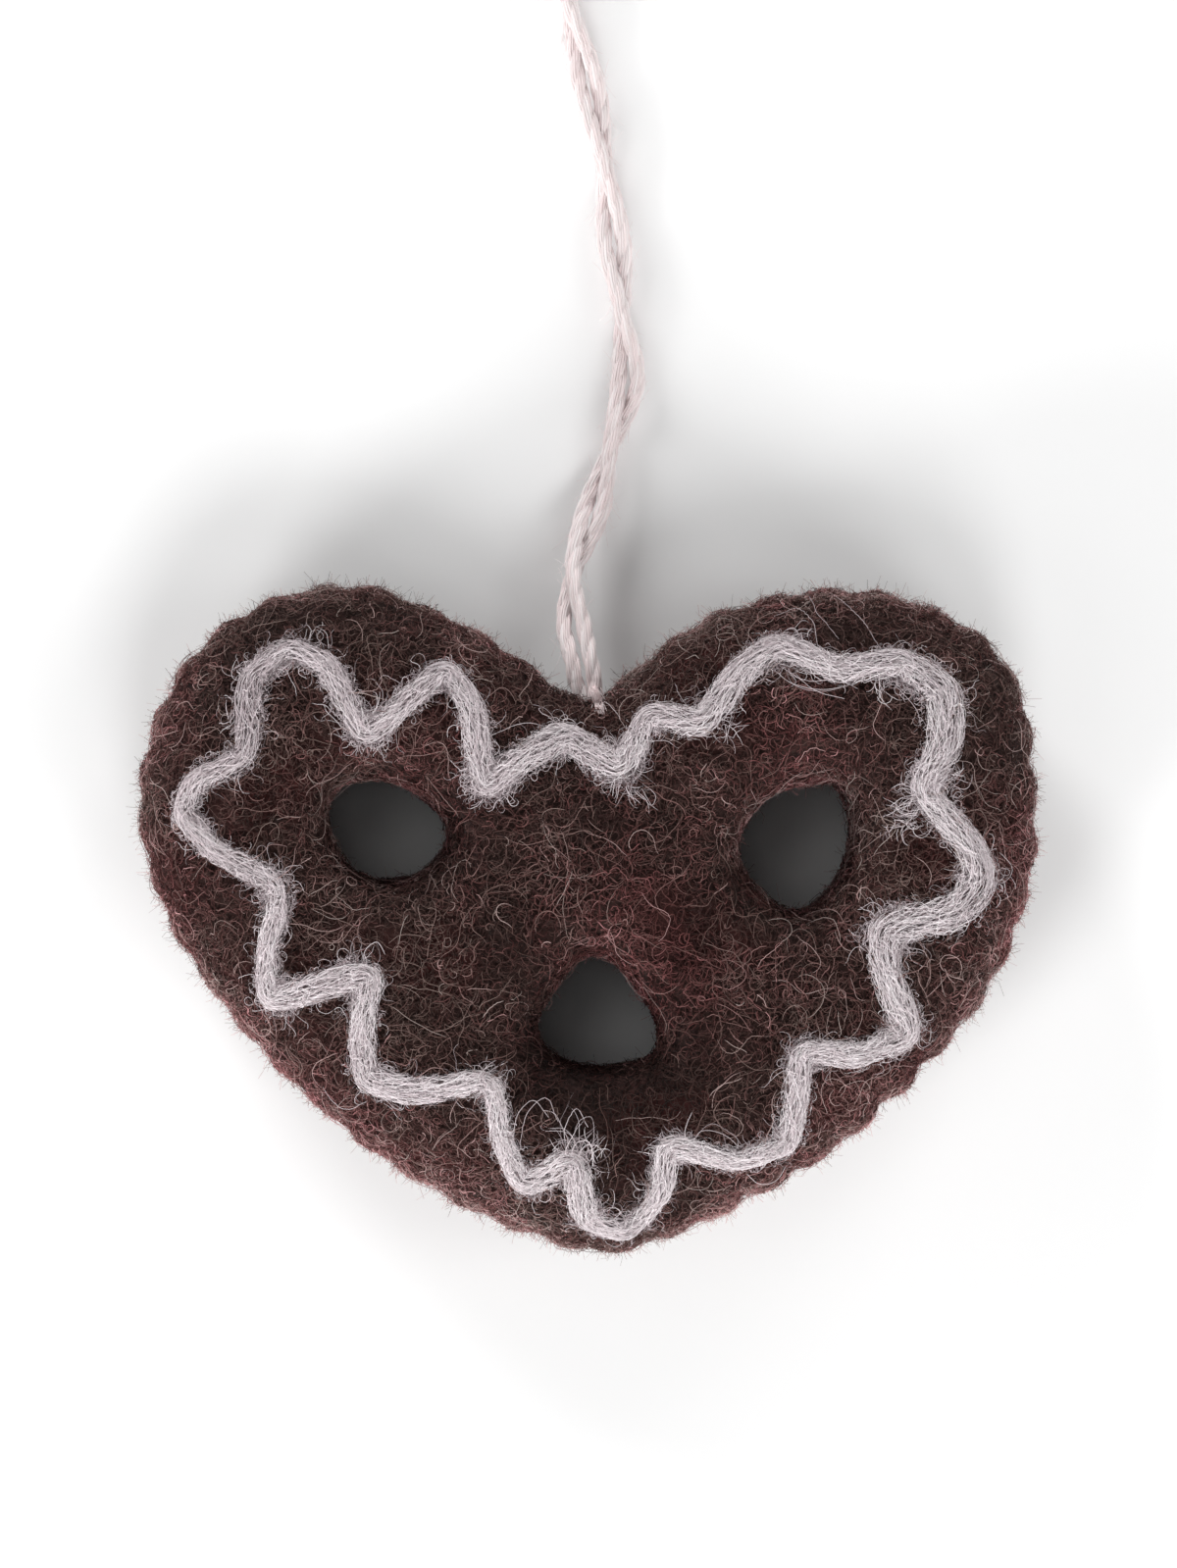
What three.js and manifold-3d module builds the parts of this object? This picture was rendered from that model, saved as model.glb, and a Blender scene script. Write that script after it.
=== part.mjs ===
// A stuffed felt heart to hang up, made like a gingerbread biscuit with piped icing. Two felt sheets
// are sewn together round the edge and round three holes and filled with wool. A line of pale roving
// zigzags over the front sheet, and a doubled string is knotted between the sheets at the notch.
// Millimetres. The heart lies on its back: +X is its right, +Y its top and +Z out of its front.
import * as THREE from "three";
import Module from "manifold-3d";
import { ConvexHull } from "three/addons/math/ConvexHull.js";
import { mergeVertices } from "three/addons/utils/BufferGeometryUtils.js";

const wasm = await Module();
wasm.setup();

// The heart's sheets and filling
const heart_width = 79;
const heart_height = 59;
const seam_level = 8.5; // the seam's height over the surface that the heart lies on
const front_crown = 8.4; // how far the front sheet swells over the seam
const pressed_flat = 0.5; // how deep the back sheet's crown is pressed flat where it rests
const felt_thickness = 1.8;
const edge_roll = 13; // how far in from the edge the crown takes to rise
const hole_roll = 5; // how far out from a hole it takes
const clearance = 0.3; // between pieces that touch
const left_hole_width = 10.6;
const left_hole_height = 8.8;
const right_hole_width = 9.9;
const right_hole_height = 11.8;
const bottom_hole_width = 10.8;
const bottom_hole_height = 9.7;
const back_crown = seam_level - clearance / 2 + pressed_flat;

// The crown's cross-section is a superellipse of these powers
const crown_fullness = 2.6;
const crown_shoulder = 2.2;

// The sewing
const stitch_pitch = 5; // along the edge
const stitch_pull = 0.55; // how far each stitch draws the edge in
const thread_diameter = 0.6;
const thread_room = thread_diameter + clearance * 2; // between the sheets' edges and the filling
const thread_inset = felt_thickness + thread_room / 2;
const filling_inset = felt_thickness + thread_room;

// The icing
const icing_width = 2.9;
const icing_height = 1.3;
const icing_gap = 0.5; // over the crown, because both are made of flat facets
const icing_step = 2.3; // along the line
const icing_bend_share = 0.9; // the most that half its width may take of a bend's radius
const icing_section_shares = [
  [0.35, 0], [-0.35, 0], [-1, 0], [-1, 0.45], [-0.5, 1], [0.5, 1], [1, 0.45], [1, 0],
];

// The string
const string_diameter = 1.4;
const string_step = 2.35; // along the loop
const string_end_room = 0.45; // between the knotted ends and the loop that swings from them
const knot_radius = 1.55;
const knot_spread_share = 1.5; // how far a trefoil's middle line reaches, of its radius
const knot_reach = knot_radius * knot_spread_share + string_diameter / 2;
const pocket_floor_share = 0.7; // of the knot's pocket, the width of its floor

// The mesh
const edge_steps = 3; // points for each stitch along the edge
const ring_step = 2.5;
const hole_steps = 20;
const outer_lattice = 3.5;
const inner_lattice = 5.5;
const edge_ring_shares = [0.03, 0.1, 0.25]; // of the roll
const hole_ring_shares = [0.07, 0.25, 0.6];
const inner_ring_share = 0.42; // inside the sheets, also of the edge's roll
const thread_sides = 5;
const string_sides = 8;
const knot_steps = 40;
const ring_keep_share = 0.5; // how near its ring a point must stay, and how far from others

// The heart's outline, clockwise from its left side, as shares of its width and height
const heart_shares = [
  [-0.5, 0.18], [-0.486, 0.3], [-0.44, 0.408], [-0.36, 0.48], [-0.268, 0.5], [-0.19, 0.468],
  [-0.105, 0.412], [-0.043, 0.356], [-0.012, 0.332], [0.004, 0.324], [0.02, 0.334], [0.05, 0.364],
  [0.106, 0.424], [0.18, 0.471], [0.268, 0.494], [0.354, 0.486], [0.444, 0.431], [0.49, 0.34],
  [0.5, 0.18], [0.492, 0.04], [0.456, -0.105], [0.372, -0.245], [0.262, -0.37], [0.14, -0.455],
  [0.06, -0.49], [0.012, -0.5], [-0.035, -0.484], [-0.115, -0.441], [-0.225, -0.355],
  [-0.335, -0.236], [-0.427, -0.095], [-0.48, 0.045],
];
const notch_search_share = 0.1; // of the width, about the middle

// The holes, each in from the heart's middle and with its outline as shares of its own sizes
const holes = [
  {
    name: "left", width: left_hole_width, height: left_hole_height, place_shares: [-0.2245, 0.133],
    shape_shares: [
      [-0.41, 0.45], [0.05, 0.5], [0.5, 0.06], [0.28, -0.4], [-0.01, -0.5], [-0.3, -0.38], [-0.5, 0.1],
    ],
  },
  {
    name: "right", width: right_hole_width, height: right_hole_height, place_shares: [0.233, 0.114],
    shape_shares: [
      [0.36, 0.48], [0.5, 0.12], [0.3, -0.36], [0.01, -0.5], [-0.32, -0.33], [-0.5, -0.02],
      [-0.24, 0.35], [0.09, 0.43],
    ],
  },
  {
    name: "bottom", width: bottom_hole_width, height: bottom_hole_height, place_shares: [0.0108, -0.133],
    shape_shares: [
      [-0.03, 0.5], [0.4, 0.02], [0.5, -0.25], [0.44, -0.44], [-0.06, -0.5], [-0.36, -0.42],
      [-0.5, -0.17], [-0.42, 0.06],
    ],
  },
];

// The icing's closed zigzag, clockwise from its left side, as shares of the heart's width and height
const icing_shares = [
  [-0.446, 0.16], [-0.434, 0.206], [-0.377, 0.247], [-0.374, 0.318], [-0.369, 0.362], [-0.33, 0.401],
  [-0.289, 0.378], [-0.245, 0.279], [-0.159, 0.369], [-0.13, 0.316], [-0.111, 0.199], [-0.067, 0.245],
  [-0.028, 0.269], [0.038, 0.226], [0.073, 0.303], [0.128, 0.294], [0.171, 0.367], [0.211, 0.404],
  [0.278, 0.372], [0.349, 0.38], [0.393, 0.339], [0.396, 0.272], [0.373, 0.194], [0.424, 0.108],
  [0.431, 0.06], [0.409, 0.016], [0.328, -0.015], [0.331, -0.077], [0.353, -0.163], [0.298, -0.196],
  [0.237, -0.195], [0.229, -0.268], [0.22, -0.325], [0.166, -0.352], [0.09, -0.332], [0.08, -0.398],
  [0.04, -0.456], [-0.001, -0.436], [-0.015, -0.354], [-0.068, -0.387], [-0.092, -0.33],
  [-0.108, -0.239], [-0.196, -0.25], [-0.245, -0.228], [-0.248, -0.138], [-0.241, -0.077],
  [-0.349, -0.113], [-0.353, -0.046], [-0.342, 0.051], [-0.413, 0.107],
];

// The string's route from the left strand at the notch round the loop and back to the right one, in
// route units. Its y runs from the notch. Between the crossings the strands lie side by side on the
// surface under the heart.
const route_unit = 1;
const string_route = [
  [-1.03, 1.8, 8.5], [-1.4, 3.7, 8.2], [-2.1, 7.1, 6.2], [-1.3, 11.4, 3.4], [1.25, 16.9, 2.1],
  [2, 22.6, 2.45], [2.75, 28.7, 1.5], [3.1, 34.9, 0.75], [3.2, 41.3, 1.5], [1.5, 48.1, 2.45],
  [-0.75, 55.2, 1.5], [-1.5, 62.1, 0.75], [-1.75, 68.9, 1.5], [-3, 75.4, 2.4], [-4.9, 80.3, 1.1],
  [-5.8, 84.7, 0.75], [-4.7, 88.8, 0.75], [-1.8, 90.7, 0.75], [1.1, 89, 0.75], [2.1, 85.1, 0.75],
  [0.7, 80.5, 0.75], [-3, 75.4, 0.75], [-3.45, 68.9, 1.5], [-1.5, 62.1, 2.45], [0.95, 55.2, 1.5],
  [1.5, 48.1, 0.75], [1.5, 41.3, 1.5], [3.1, 34.9, 2.45], [4.45, 28.7, 1.5], [2, 22.6, 0.75],
  [-0.45, 16.9, 2.1], [-1.3, 11.4, 5.4], [-0.4, 7.1, 6.8], [0.3, 3.7, 8.2], [0.67, 1.8, 8.5],
];

const felt = (color) => new THREE.MeshStandardMaterial({ color, roughness: 1, metalness: 0 });
const materials = {
  front: felt(0x4a3632),
  back: felt(0x463330),
  filling: felt(0x8d8177),
  thread: felt(0x3a2a27),
  icing: felt(0xcfc4c6),
  string: felt(0xd0c0c1),
};

// A closed outline through its shares, with evenly spaced points, run anticlockwise
function outline_of(shares, width, height, count) {
  const corners = shares.map(([x, y]) => new THREE.Vector3(x * width, y * height, 0));
  const curve = new THREE.CatmullRomCurve3(corners, true, "centripetal");
  curve.arcLengthDivisions = count * shares.length;
  const loop = curve.getSpacedPoints(count).slice(1).map((p) => new THREE.Vector2(p.x, p.y));
  if (THREE.ShapeUtils.isClockWise(loop)) loop.reverse();
  const box = new THREE.Box2().setFromPoints(loop);
  const size = box.getSize(new THREE.Vector2());
  const stretch = new THREE.Vector2(width / size.x, height / size.y);
  return loop.map((p) => p.sub(box.getCenter(new THREE.Vector2())).multiply(stretch));
}

// An outline's points moved square to it: to its inside, or to its outside by a negative distance
function moved_in(loop, distance_at) {
  return loop.map((p, i) => {
    const before = loop[(i + loop.length - 1) % loop.length];
    const after = loop[(i + 1) % loop.length];
    const along = after.clone().sub(before).normalize();
    const distance = distance_at(p, i);
    return new THREE.Vector2(p.x - along.y * distance, p.y + along.x * distance);
  });
}

// An outline's points from just after a gap in it round to just before
function opened_at(loop, is_gap) {
  const last = loop.findIndex((p, i) => is_gap(p) && !is_gap(loop[(i + 1) % loop.length]));
  return [...loop.slice(last + 1), ...loop.slice(0, last + 1)].filter((p) => !is_gap(p));
}

function length_of(loop) {
  return loop.reduce((sum, p, i) => sum + p.distanceTo(loop[(i + 1) % loop.length]), 0);
}

function distance_to(loop, p) {
  let nearest = Infinity;
  loop.forEach((a, i) => {
    const b = loop[(i + 1) % loop.length];
    const run = new THREE.Vector2().subVectors(b, a);
    const share = new THREE.Vector2().subVectors(p, a).dot(run) / run.lengthSq();
    const foot = a.clone().addScaledVector(run, THREE.MathUtils.clamp(share, 0, 1));
    nearest = Math.min(nearest, p.distanceTo(foot));
  });
  return nearest;
}

function is_inside(loop, p) {
  let inside = false;
  loop.forEach((a, i) => {
    const b = loop[(i + 1) % loop.length];
    const crosses = a.y > p.y !== b.y > p.y;
    if (crosses && p.x < a.x + ((p.y - a.y) / (b.y - a.y)) * (b.x - a.x)) inside = !inside;
  });
  return inside;
}

// The heart's smooth edge, the same edge drawn in by its stitches, and the notch between its lobes
const rough_edge = outline_of(heart_shares, heart_width, heart_height, heart_shares.length * edge_steps);
const stitch_count = Math.round(length_of(rough_edge) / stitch_pitch);
const smooth_edge = outline_of(heart_shares, heart_width, heart_height, stitch_count * edge_steps);
const ring_count = Math.round(length_of(smooth_edge) / ring_step);
const ring_edge = outline_of(heart_shares, heart_width, heart_height, ring_count);
const sewn_edge = moved_in(
  smooth_edge,
  (p, i) => stitch_pull * (1 - Math.sin((Math.PI * (i % edge_steps)) / edge_steps)),
);
const notch = smooth_edge
  .filter((p) => p.y > 0 && Math.abs(p.x) < heart_width * notch_search_share)
  .reduce((low, p) => (p.y < low.y ? p : low));
const hole_edges = holes.map((hole) => {
  const [x, y] = hole.place_shares;
  const middle = new THREE.Vector2(x * heart_width, y * heart_height);
  return outline_of(hole.shape_shares, hole.width, hole.height, hole_steps).map((p) => p.add(middle));
});

// How far a sheet has swelled at a point: each seam holds it down, from the room where the swelling
// starts to the room where it is full
function swell(p, seams) {
  return seams.reduce((fullness, { loop, from, to }) => {
    const left = 1 - THREE.MathUtils.clamp((distance_to(loop, p) - from) / (to - from), 0, 1);
    return fullness * (1 - left ** crown_fullness) ** (1 / crown_shoulder);
  }, 1);
}
const outer_seams = [
  { loop: sewn_edge, from: 0, to: edge_roll },
  ...hole_edges.map((loop) => ({ loop, from: 0, to: hole_roll })),
];
const inner_seams = [
  { loop: smooth_edge, from: stitch_pull + felt_thickness, to: edge_roll },
  ...hole_edges.map((loop) => ({ loop, from: felt_thickness, to: hole_roll })),
];

// The string's two strands run side by side through a mouth in the seam to their knot
const route = string_route.map(([x, y, z]) => {
  return new THREE.Vector3(x * route_unit, notch.y + y * route_unit, z * route_unit);
});
const string_starts = [route[0], route[route.length - 1]];
const string_x = (string_starts[0].x + string_starts[1].x) / 2;
const string_spacing = string_starts[1].x - string_starts[0].x;
const knot_y = notch.y - filling_inset - knot_reach;
const mouth_half_width = string_spacing / 2 + string_diameter + clearance;
const mouth_rise = string_diameter;
const mouth_line = [
  new THREE.Vector2(string_x, notch.y + filling_inset),
  new THREE.Vector2(string_x, notch.y - filling_inset),
];
function mouth(p) {
  return mouth_rise * Math.max(0, 1 - (distance_to(mouth_line, p) / mouth_half_width) ** 2);
}

// How far a sheet's outer and inner faces lie from the seam's level
function outer_level(p, crown) {
  return clearance / 2 + Math.max(mouth(p), (crown - clearance / 2) * swell(p, outer_seams));
}
function inner_level(p, crown) {
  return clearance / 2 + Math.max(mouth(p), (crown - felt_thickness) * swell(p, inner_seams));
}

// Rings of points set in from a plan's edge and out from its holes, by the room that each leaves.
// The plan's own edges may be set in already.
function rings_at(edge_rooms, hole_rooms, inset) {
  const in_from_edge = (room) => ({ room, loop: moved_in(ring_edge, () => stitch_pull + inset + room) });
  const out_from_holes = (room) => {
    return hole_edges.map((edge) => ({ room, loop: moved_in(edge, () => -inset - room) }));
  };
  return [...edge_rooms.map(in_from_edge), ...hole_rooms.flatMap(out_from_holes)];
}

// The points and triangles of a face seen from above: its edges, its rings, and an even lattice
// between. The triangles are the underside of the hull of the points lifted on a paraboloid.
function plan_of(edge, hole_loops, rings, lattice) {
  const edges = [edge, ...hole_loops];
  const points = edges.flat();
  const is_felt = (p) => is_inside(edge, p) && !hole_loops.some((loop) => is_inside(loop, p));
  const room_at = (p) => Math.min(...edges.map((loop) => distance_to(loop, p)));
  const add = (p, room, apart) => {
    if (is_felt(p) && room_at(p) > room && points.every((q) => q.distanceTo(p) > apart)) points.push(p);
  };
  for (const { room, loop } of rings) {
    const apart = (Math.min(room, ring_step) * ring_keep_share) / 2;
    for (const p of loop) add(p, room * ring_keep_share, apart);
  }
  const row = (lattice * Math.sqrt(3)) / 2;
  const box = new THREE.Box2().setFromPoints(edge);
  for (let r = 0; box.min.y + r * row < box.max.y; r++) {
    for (let c = 0; box.min.x + c * lattice < box.max.x; c++) {
      const p = new THREE.Vector2(box.min.x + (c + (r % 2) / 2) * lattice, box.min.y + r * row);
      add(p, lattice * ring_keep_share, lattice * ring_keep_share);
    }
  }
  const lifted = points.map((p) => new THREE.Vector3(p.x, p.y, p.lengthSq() / heart_width));
  const number = new Map(lifted.map((v, i) => [v, i]));
  const triangles = [];
  for (const face of new ConvexHull().setFromPoints(lifted).faces) {
    const corners = [face.edge.prev, face.edge, face.edge.next].map((e) => number.get(e.head().point));
    const middle = corners.reduce((sum, i) => sum.add(points[i]), new THREE.Vector2()).divideScalar(3);
    if (face.normal.z < 0 && is_felt(middle)) triangles.push(corners.reverse());
  }
  return { points, triangles };
}

// One closed solid from two faces that share their edges, each a plan with its height at each point
function solid_between(top, bottom) {
  const places = [];
  for (const { plan, level } of [top, bottom]) {
    for (const corners of plan.triangles) {
      for (const i of level === top.level ? corners : [...corners].reverse()) {
        places.push(plan.points[i].x, plan.points[i].y, level(plan.points[i]));
      }
    }
  }
  const geometry = new THREE.BufferGeometry();
  geometry.setAttribute("position", new THREE.Float32BufferAttribute(places, 3));
  return mergeVertices(geometry);
}

// A thread or string: a closed ring, or one with two ends
function ring_tube(points, diameter, sides) {
  const path = new THREE.CatmullRomCurve3(points, true, "centripetal");
  return new THREE.TubeGeometry(path, points.length, diameter / 2, sides, true);
}
function open_tube(points, diameter, sides, step) {
  const path = new THREE.CatmullRomCurve3(points, false, "centripetal");
  const section = new THREE.Shape(
    Array.from({ length: sides }, (_, i) => {
      const turn = (2 * Math.PI * i) / sides;
      return new THREE.Vector2(Math.cos(turn), Math.sin(turn)).multiplyScalar(diameter / 2);
    }),
  );
  const steps = Math.round(path.getLength() / step);
  return new THREE.ExtrudeGeometry(section, { steps, extrudePath: path, curveSegments: 1 });
}

function manifold_of(geometry) {
  const bare = geometry.clone().deleteAttribute("normal").deleteAttribute("uv");
  const merged = mergeVertices(bare.index ? bare.toNonIndexed() : bare);
  return new wasm.Manifold(
    new wasm.Mesh({
      numProp: 3,
      vertProperties: merged.attributes.position.array,
      triVerts: new Uint32Array(merged.index.array),
    }),
  );
}
function joined(geometries) {
  const mesh = geometries.map(manifold_of).reduce((sum, piece) => sum.add(piece)).getMesh();
  const geometry = new THREE.BufferGeometry();
  geometry.setAttribute("position", new THREE.BufferAttribute(mesh.vertProperties, 3));
  return geometry.setIndex(new THREE.BufferAttribute(mesh.triVerts, 1));
}

const group = new THREE.Group();
function add_piece(name, geometry, material) {
  const mesh = new THREE.Mesh(geometry, material);
  mesh.name = name;
  group.add(mesh);
}

// The felt sheets meet at the seam's level along the edge and the holes
const outer_plan = plan_of(
  sewn_edge,
  hole_edges,
  rings_at(
    edge_ring_shares.map((share) => share * edge_roll),
    hole_ring_shares.map((share) => share * hole_roll),
    0,
  ),
  outer_lattice,
);
const inner_rooms = [felt_thickness, filling_inset, inner_ring_share * edge_roll];
const inner_plan = plan_of(sewn_edge, hole_edges, rings_at(inner_rooms, inner_rooms, 0), inner_lattice);
add_piece(
  "felt_front",
  solid_between(
    { plan: outer_plan, level: (p) => seam_level + outer_level(p, front_crown) },
    { plan: inner_plan, level: (p) => seam_level + inner_level(p, front_crown) },
  ),
  materials.front,
);
add_piece(
  "felt_back",
  solid_between(
    { plan: inner_plan, level: (p) => seam_level - inner_level(p, back_crown) },
    { plan: outer_plan, level: (p) => Math.max(0, seam_level - outer_level(p, back_crown)) },
  ),
  materials.back,
);

// The filling swells inside them, with a pocket at the notch for the knot
const pocket = knot_reach + clearance;
const pocket_floor = pocket * pocket_floor_share;
const in_pocket = (p) => p.y > knot_y && Math.abs(p.x - string_x) < pocket + thread_room;
const filling_edge = [
  ...opened_at(
    moved_in(ring_edge, () => stitch_pull + filling_inset),
    in_pocket,
  ),
  new THREE.Vector2(string_x + pocket, knot_y),
  new THREE.Vector2(string_x + pocket_floor, knot_y - pocket),
  new THREE.Vector2(string_x - pocket_floor, knot_y - pocket),
  new THREE.Vector2(string_x - pocket, knot_y),
];
const filling_holes = hole_edges.map((loop) => moved_in(loop, () => -filling_inset));
const filling_seams = [
  { loop: filling_edge, from: 0, to: edge_roll - filling_inset },
  ...filling_holes.map((loop) => ({ loop, from: 0, to: hole_roll - filling_inset })),
];
const filling_rooms = [thread_room, inner_ring_share * edge_roll - filling_inset];
const filling_rings = rings_at(filling_rooms, filling_rooms, filling_inset);
const filling_plan = plan_of(filling_edge, filling_holes, filling_rings, inner_lattice);
const filling_level = (p, crown) => (crown - felt_thickness - clearance) * swell(p, filling_seams);
add_piece(
  "wool_filling",
  solid_between(
    { plan: filling_plan, level: (p) => seam_level + filling_level(p, front_crown) },
    { plan: filling_plan, level: (p) => seam_level - filling_level(p, back_crown) },
  ),
  materials.filling,
);

// The sewing thread runs between the sheets, just inside their edges. Along the heart's edge it
// starts and ends beside the mouth.
const at_seam = (p) => new THREE.Vector3(p.x, p.y, seam_level);
hole_edges.forEach((edge, i) => {
  const path = moved_in(edge, () => -thread_inset).map(at_seam);
  add_piece(`hole_thread_${holes[i].name}`, ring_tube(path, thread_diameter, thread_sides), materials.thread);
});
const thread_loop = moved_in(ring_edge, () => stitch_pull + thread_inset);
const mouth_reach = mouth_half_width + thread_diameter;
const thread_path = opened_at(thread_loop, (p) => distance_to(mouth_line, p) < mouth_reach).map(at_seam);
add_piece("edge_thread", open_tube(thread_path, thread_diameter, thread_sides, ring_step), materials.thread);

// The icing is a band of roving that lies on the front sheet, narrower where it bends sharply
function icing_band() {
  const corners = icing_shares.map(([x, y]) => new THREE.Vector3(x * heart_width, y * heart_height, 0));
  const path = new THREE.CatmullRomCurve3(corners, true, "centripetal");
  path.arcLengthDivisions = corners.length * string_sides;
  const count = Math.round(path.getLength() / icing_step);
  const line = path.getSpacedPoints(count).slice(1).map((p) => new THREE.Vector2(p.x, p.y));
  const places = [];
  line.forEach((p, i) => {
    const before = line[(i + count - 1) % count];
    const after = line[(i + 1) % count];
    const along = new THREE.Vector2().subVectors(after, before).normalize();
    const arriving = new THREE.Vector2().subVectors(p, before);
    const leaving = new THREE.Vector2().subVectors(after, p);
    const bend_radius = leaving.length() / arriving.angleTo(leaving);
    const half = Math.min(icing_width / 2, bend_radius * icing_bend_share);
    for (const [across, up] of icing_section_shares) {
      const q = new THREE.Vector2(p.x - along.y * half * across, p.y + along.x * half * across);
      places.push(q.x, q.y, seam_level + outer_level(q, front_crown) + icing_gap + icing_height * up);
    }
  });
  const sides = icing_section_shares.length;
  const index = [];
  for (let i = 0; i < count; i++) {
    for (let k = 0; k < sides; k++) {
      const a = i * sides + k;
      const b = i * sides + ((k + 1) % sides);
      const c = ((i + 1) % count) * sides + k;
      const d = ((i + 1) % count) * sides + ((k + 1) % sides);
      index.push(a, c, b, b, c, d);
    }
  }
  const geometry = new THREE.BufferGeometry();
  geometry.setAttribute("position", new THREE.Float32BufferAttribute(places, 3));
  return geometry.setIndex(index);
}
add_piece("icing_line", icing_band(), materials.icing);

// The string's ends pass the mouth and are knotted in the pocket
const strand_end = string_starts[0].y - string_end_room;
const knot = new THREE.TorusKnotGeometry(knot_radius, string_diameter / 2, knot_steps, string_sides);
const strand_length = strand_end - knot_y;
const strands = string_starts.map(({ x }) => {
  const radius = string_diameter / 2;
  const strand = new THREE.CylinderGeometry(radius, radius, strand_length, string_sides);
  return strand.translate(x, knot_y + strand_length / 2, seam_level);
});
knot.translate(string_x, knot_y, seam_level);
add_piece("string_knot", joined([knot, ...strands]), materials.string);

// The loop swings from them
add_piece("hanging_loop", open_tube(route, string_diameter, string_sides, string_step), materials.string);

export default group;
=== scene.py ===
import math

import bpy
import numpy as np
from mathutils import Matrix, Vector, noise
from mathutils.bvhtree import BVHTree


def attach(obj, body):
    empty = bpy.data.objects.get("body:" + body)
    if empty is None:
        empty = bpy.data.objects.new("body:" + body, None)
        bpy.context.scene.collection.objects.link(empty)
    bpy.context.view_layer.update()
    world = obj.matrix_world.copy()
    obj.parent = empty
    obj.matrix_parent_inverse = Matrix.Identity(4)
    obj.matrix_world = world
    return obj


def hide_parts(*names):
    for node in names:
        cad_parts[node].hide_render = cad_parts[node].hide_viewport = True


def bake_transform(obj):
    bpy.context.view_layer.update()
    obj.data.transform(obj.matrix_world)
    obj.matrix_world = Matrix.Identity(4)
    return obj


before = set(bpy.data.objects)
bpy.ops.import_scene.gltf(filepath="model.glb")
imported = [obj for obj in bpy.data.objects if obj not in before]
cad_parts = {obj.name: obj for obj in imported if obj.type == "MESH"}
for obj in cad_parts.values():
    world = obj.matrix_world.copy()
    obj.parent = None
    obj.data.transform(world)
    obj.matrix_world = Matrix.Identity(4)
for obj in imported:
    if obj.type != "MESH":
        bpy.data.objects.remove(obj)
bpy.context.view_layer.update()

MM = 0.001
UP = np.array([0.0, 0.0, 1.0])

# The photograph: its size in pixels, the size of one pixel at the seam's level, and the pixel at the
# middle of the heart
PHOTO_WIDE, PHOTO_HIGH = 1200, 1599
PIXEL = 0.08677 * MM
HEART_PIXEL = (599, 938)

# Sizes that the solids share
HEART_WIDTH, HEART_HEIGHT = 79 * MM, 59 * MM
SEAM_LEVEL = 8.5 * MM
STRING_DIAMETER = 1.4 * MM
STITCH_STEPS = 3  # points of the solid's edge for each stitch
HOLES = [(-17.74 * MM, 7.85 * MM), (18.41 * MM, 6.73 * MM), (0.85 * MM, -7.85 * MM)]
HOLE_REACH = 8 * MM  # how far from a hole's middle its walls and shoulders go

# A strand's UV map holds its tone and tint, each in a small patch of the map
TONE_MAP = "OFBake"
UV_HALF = 0.004

# How much of a strand's turning goes on into its next step, and how much is new there
TURN_KEPT, TURN_NEW = 0.8, 0.6

# The string's route in millimetres, its y from the notch
NOTCH_Y = 19.21
STRING_ROUTE = [
    (-1.03, 1.8, 8.5), (-1.4, 3.7, 8.2), (-2.1, 7.1, 6.2), (-1.3, 11.4, 3.4), (1.25, 16.9, 2.1),
    (2, 22.6, 2.45), (2.75, 28.7, 1.5), (3.1, 34.9, 0.75), (3.2, 41.3, 1.5), (1.5, 48.1, 2.45),
    (-0.75, 55.2, 1.5), (-1.5, 62.1, 0.75), (-1.75, 68.9, 1.5), (-3, 75.4, 2.4), (-4.9, 80.3, 1.1),
    (-5.8, 84.7, 0.75), (-4.7, 88.8, 0.75), (-1.8, 90.7, 0.75), (1.1, 89, 0.75), (2.1, 85.1, 0.75),
    (0.7, 80.5, 0.75), (-3, 75.4, 0.75), (-3.45, 68.9, 1.5), (-1.5, 62.1, 2.45), (0.95, 55.2, 1.5),
    (1.5, 48.1, 0.75), (1.5, 41.3, 1.5), (3.1, 34.9, 2.45), (4.45, 28.7, 1.5), (2, 22.6, 0.75),
    (-0.45, 16.9, 2.1), (-1.3, 11.4, 5.4), (-0.4, 7.1, 6.8), (0.3, 3.7, 8.2), (0.67, 1.8, 8.5),
]

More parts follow.
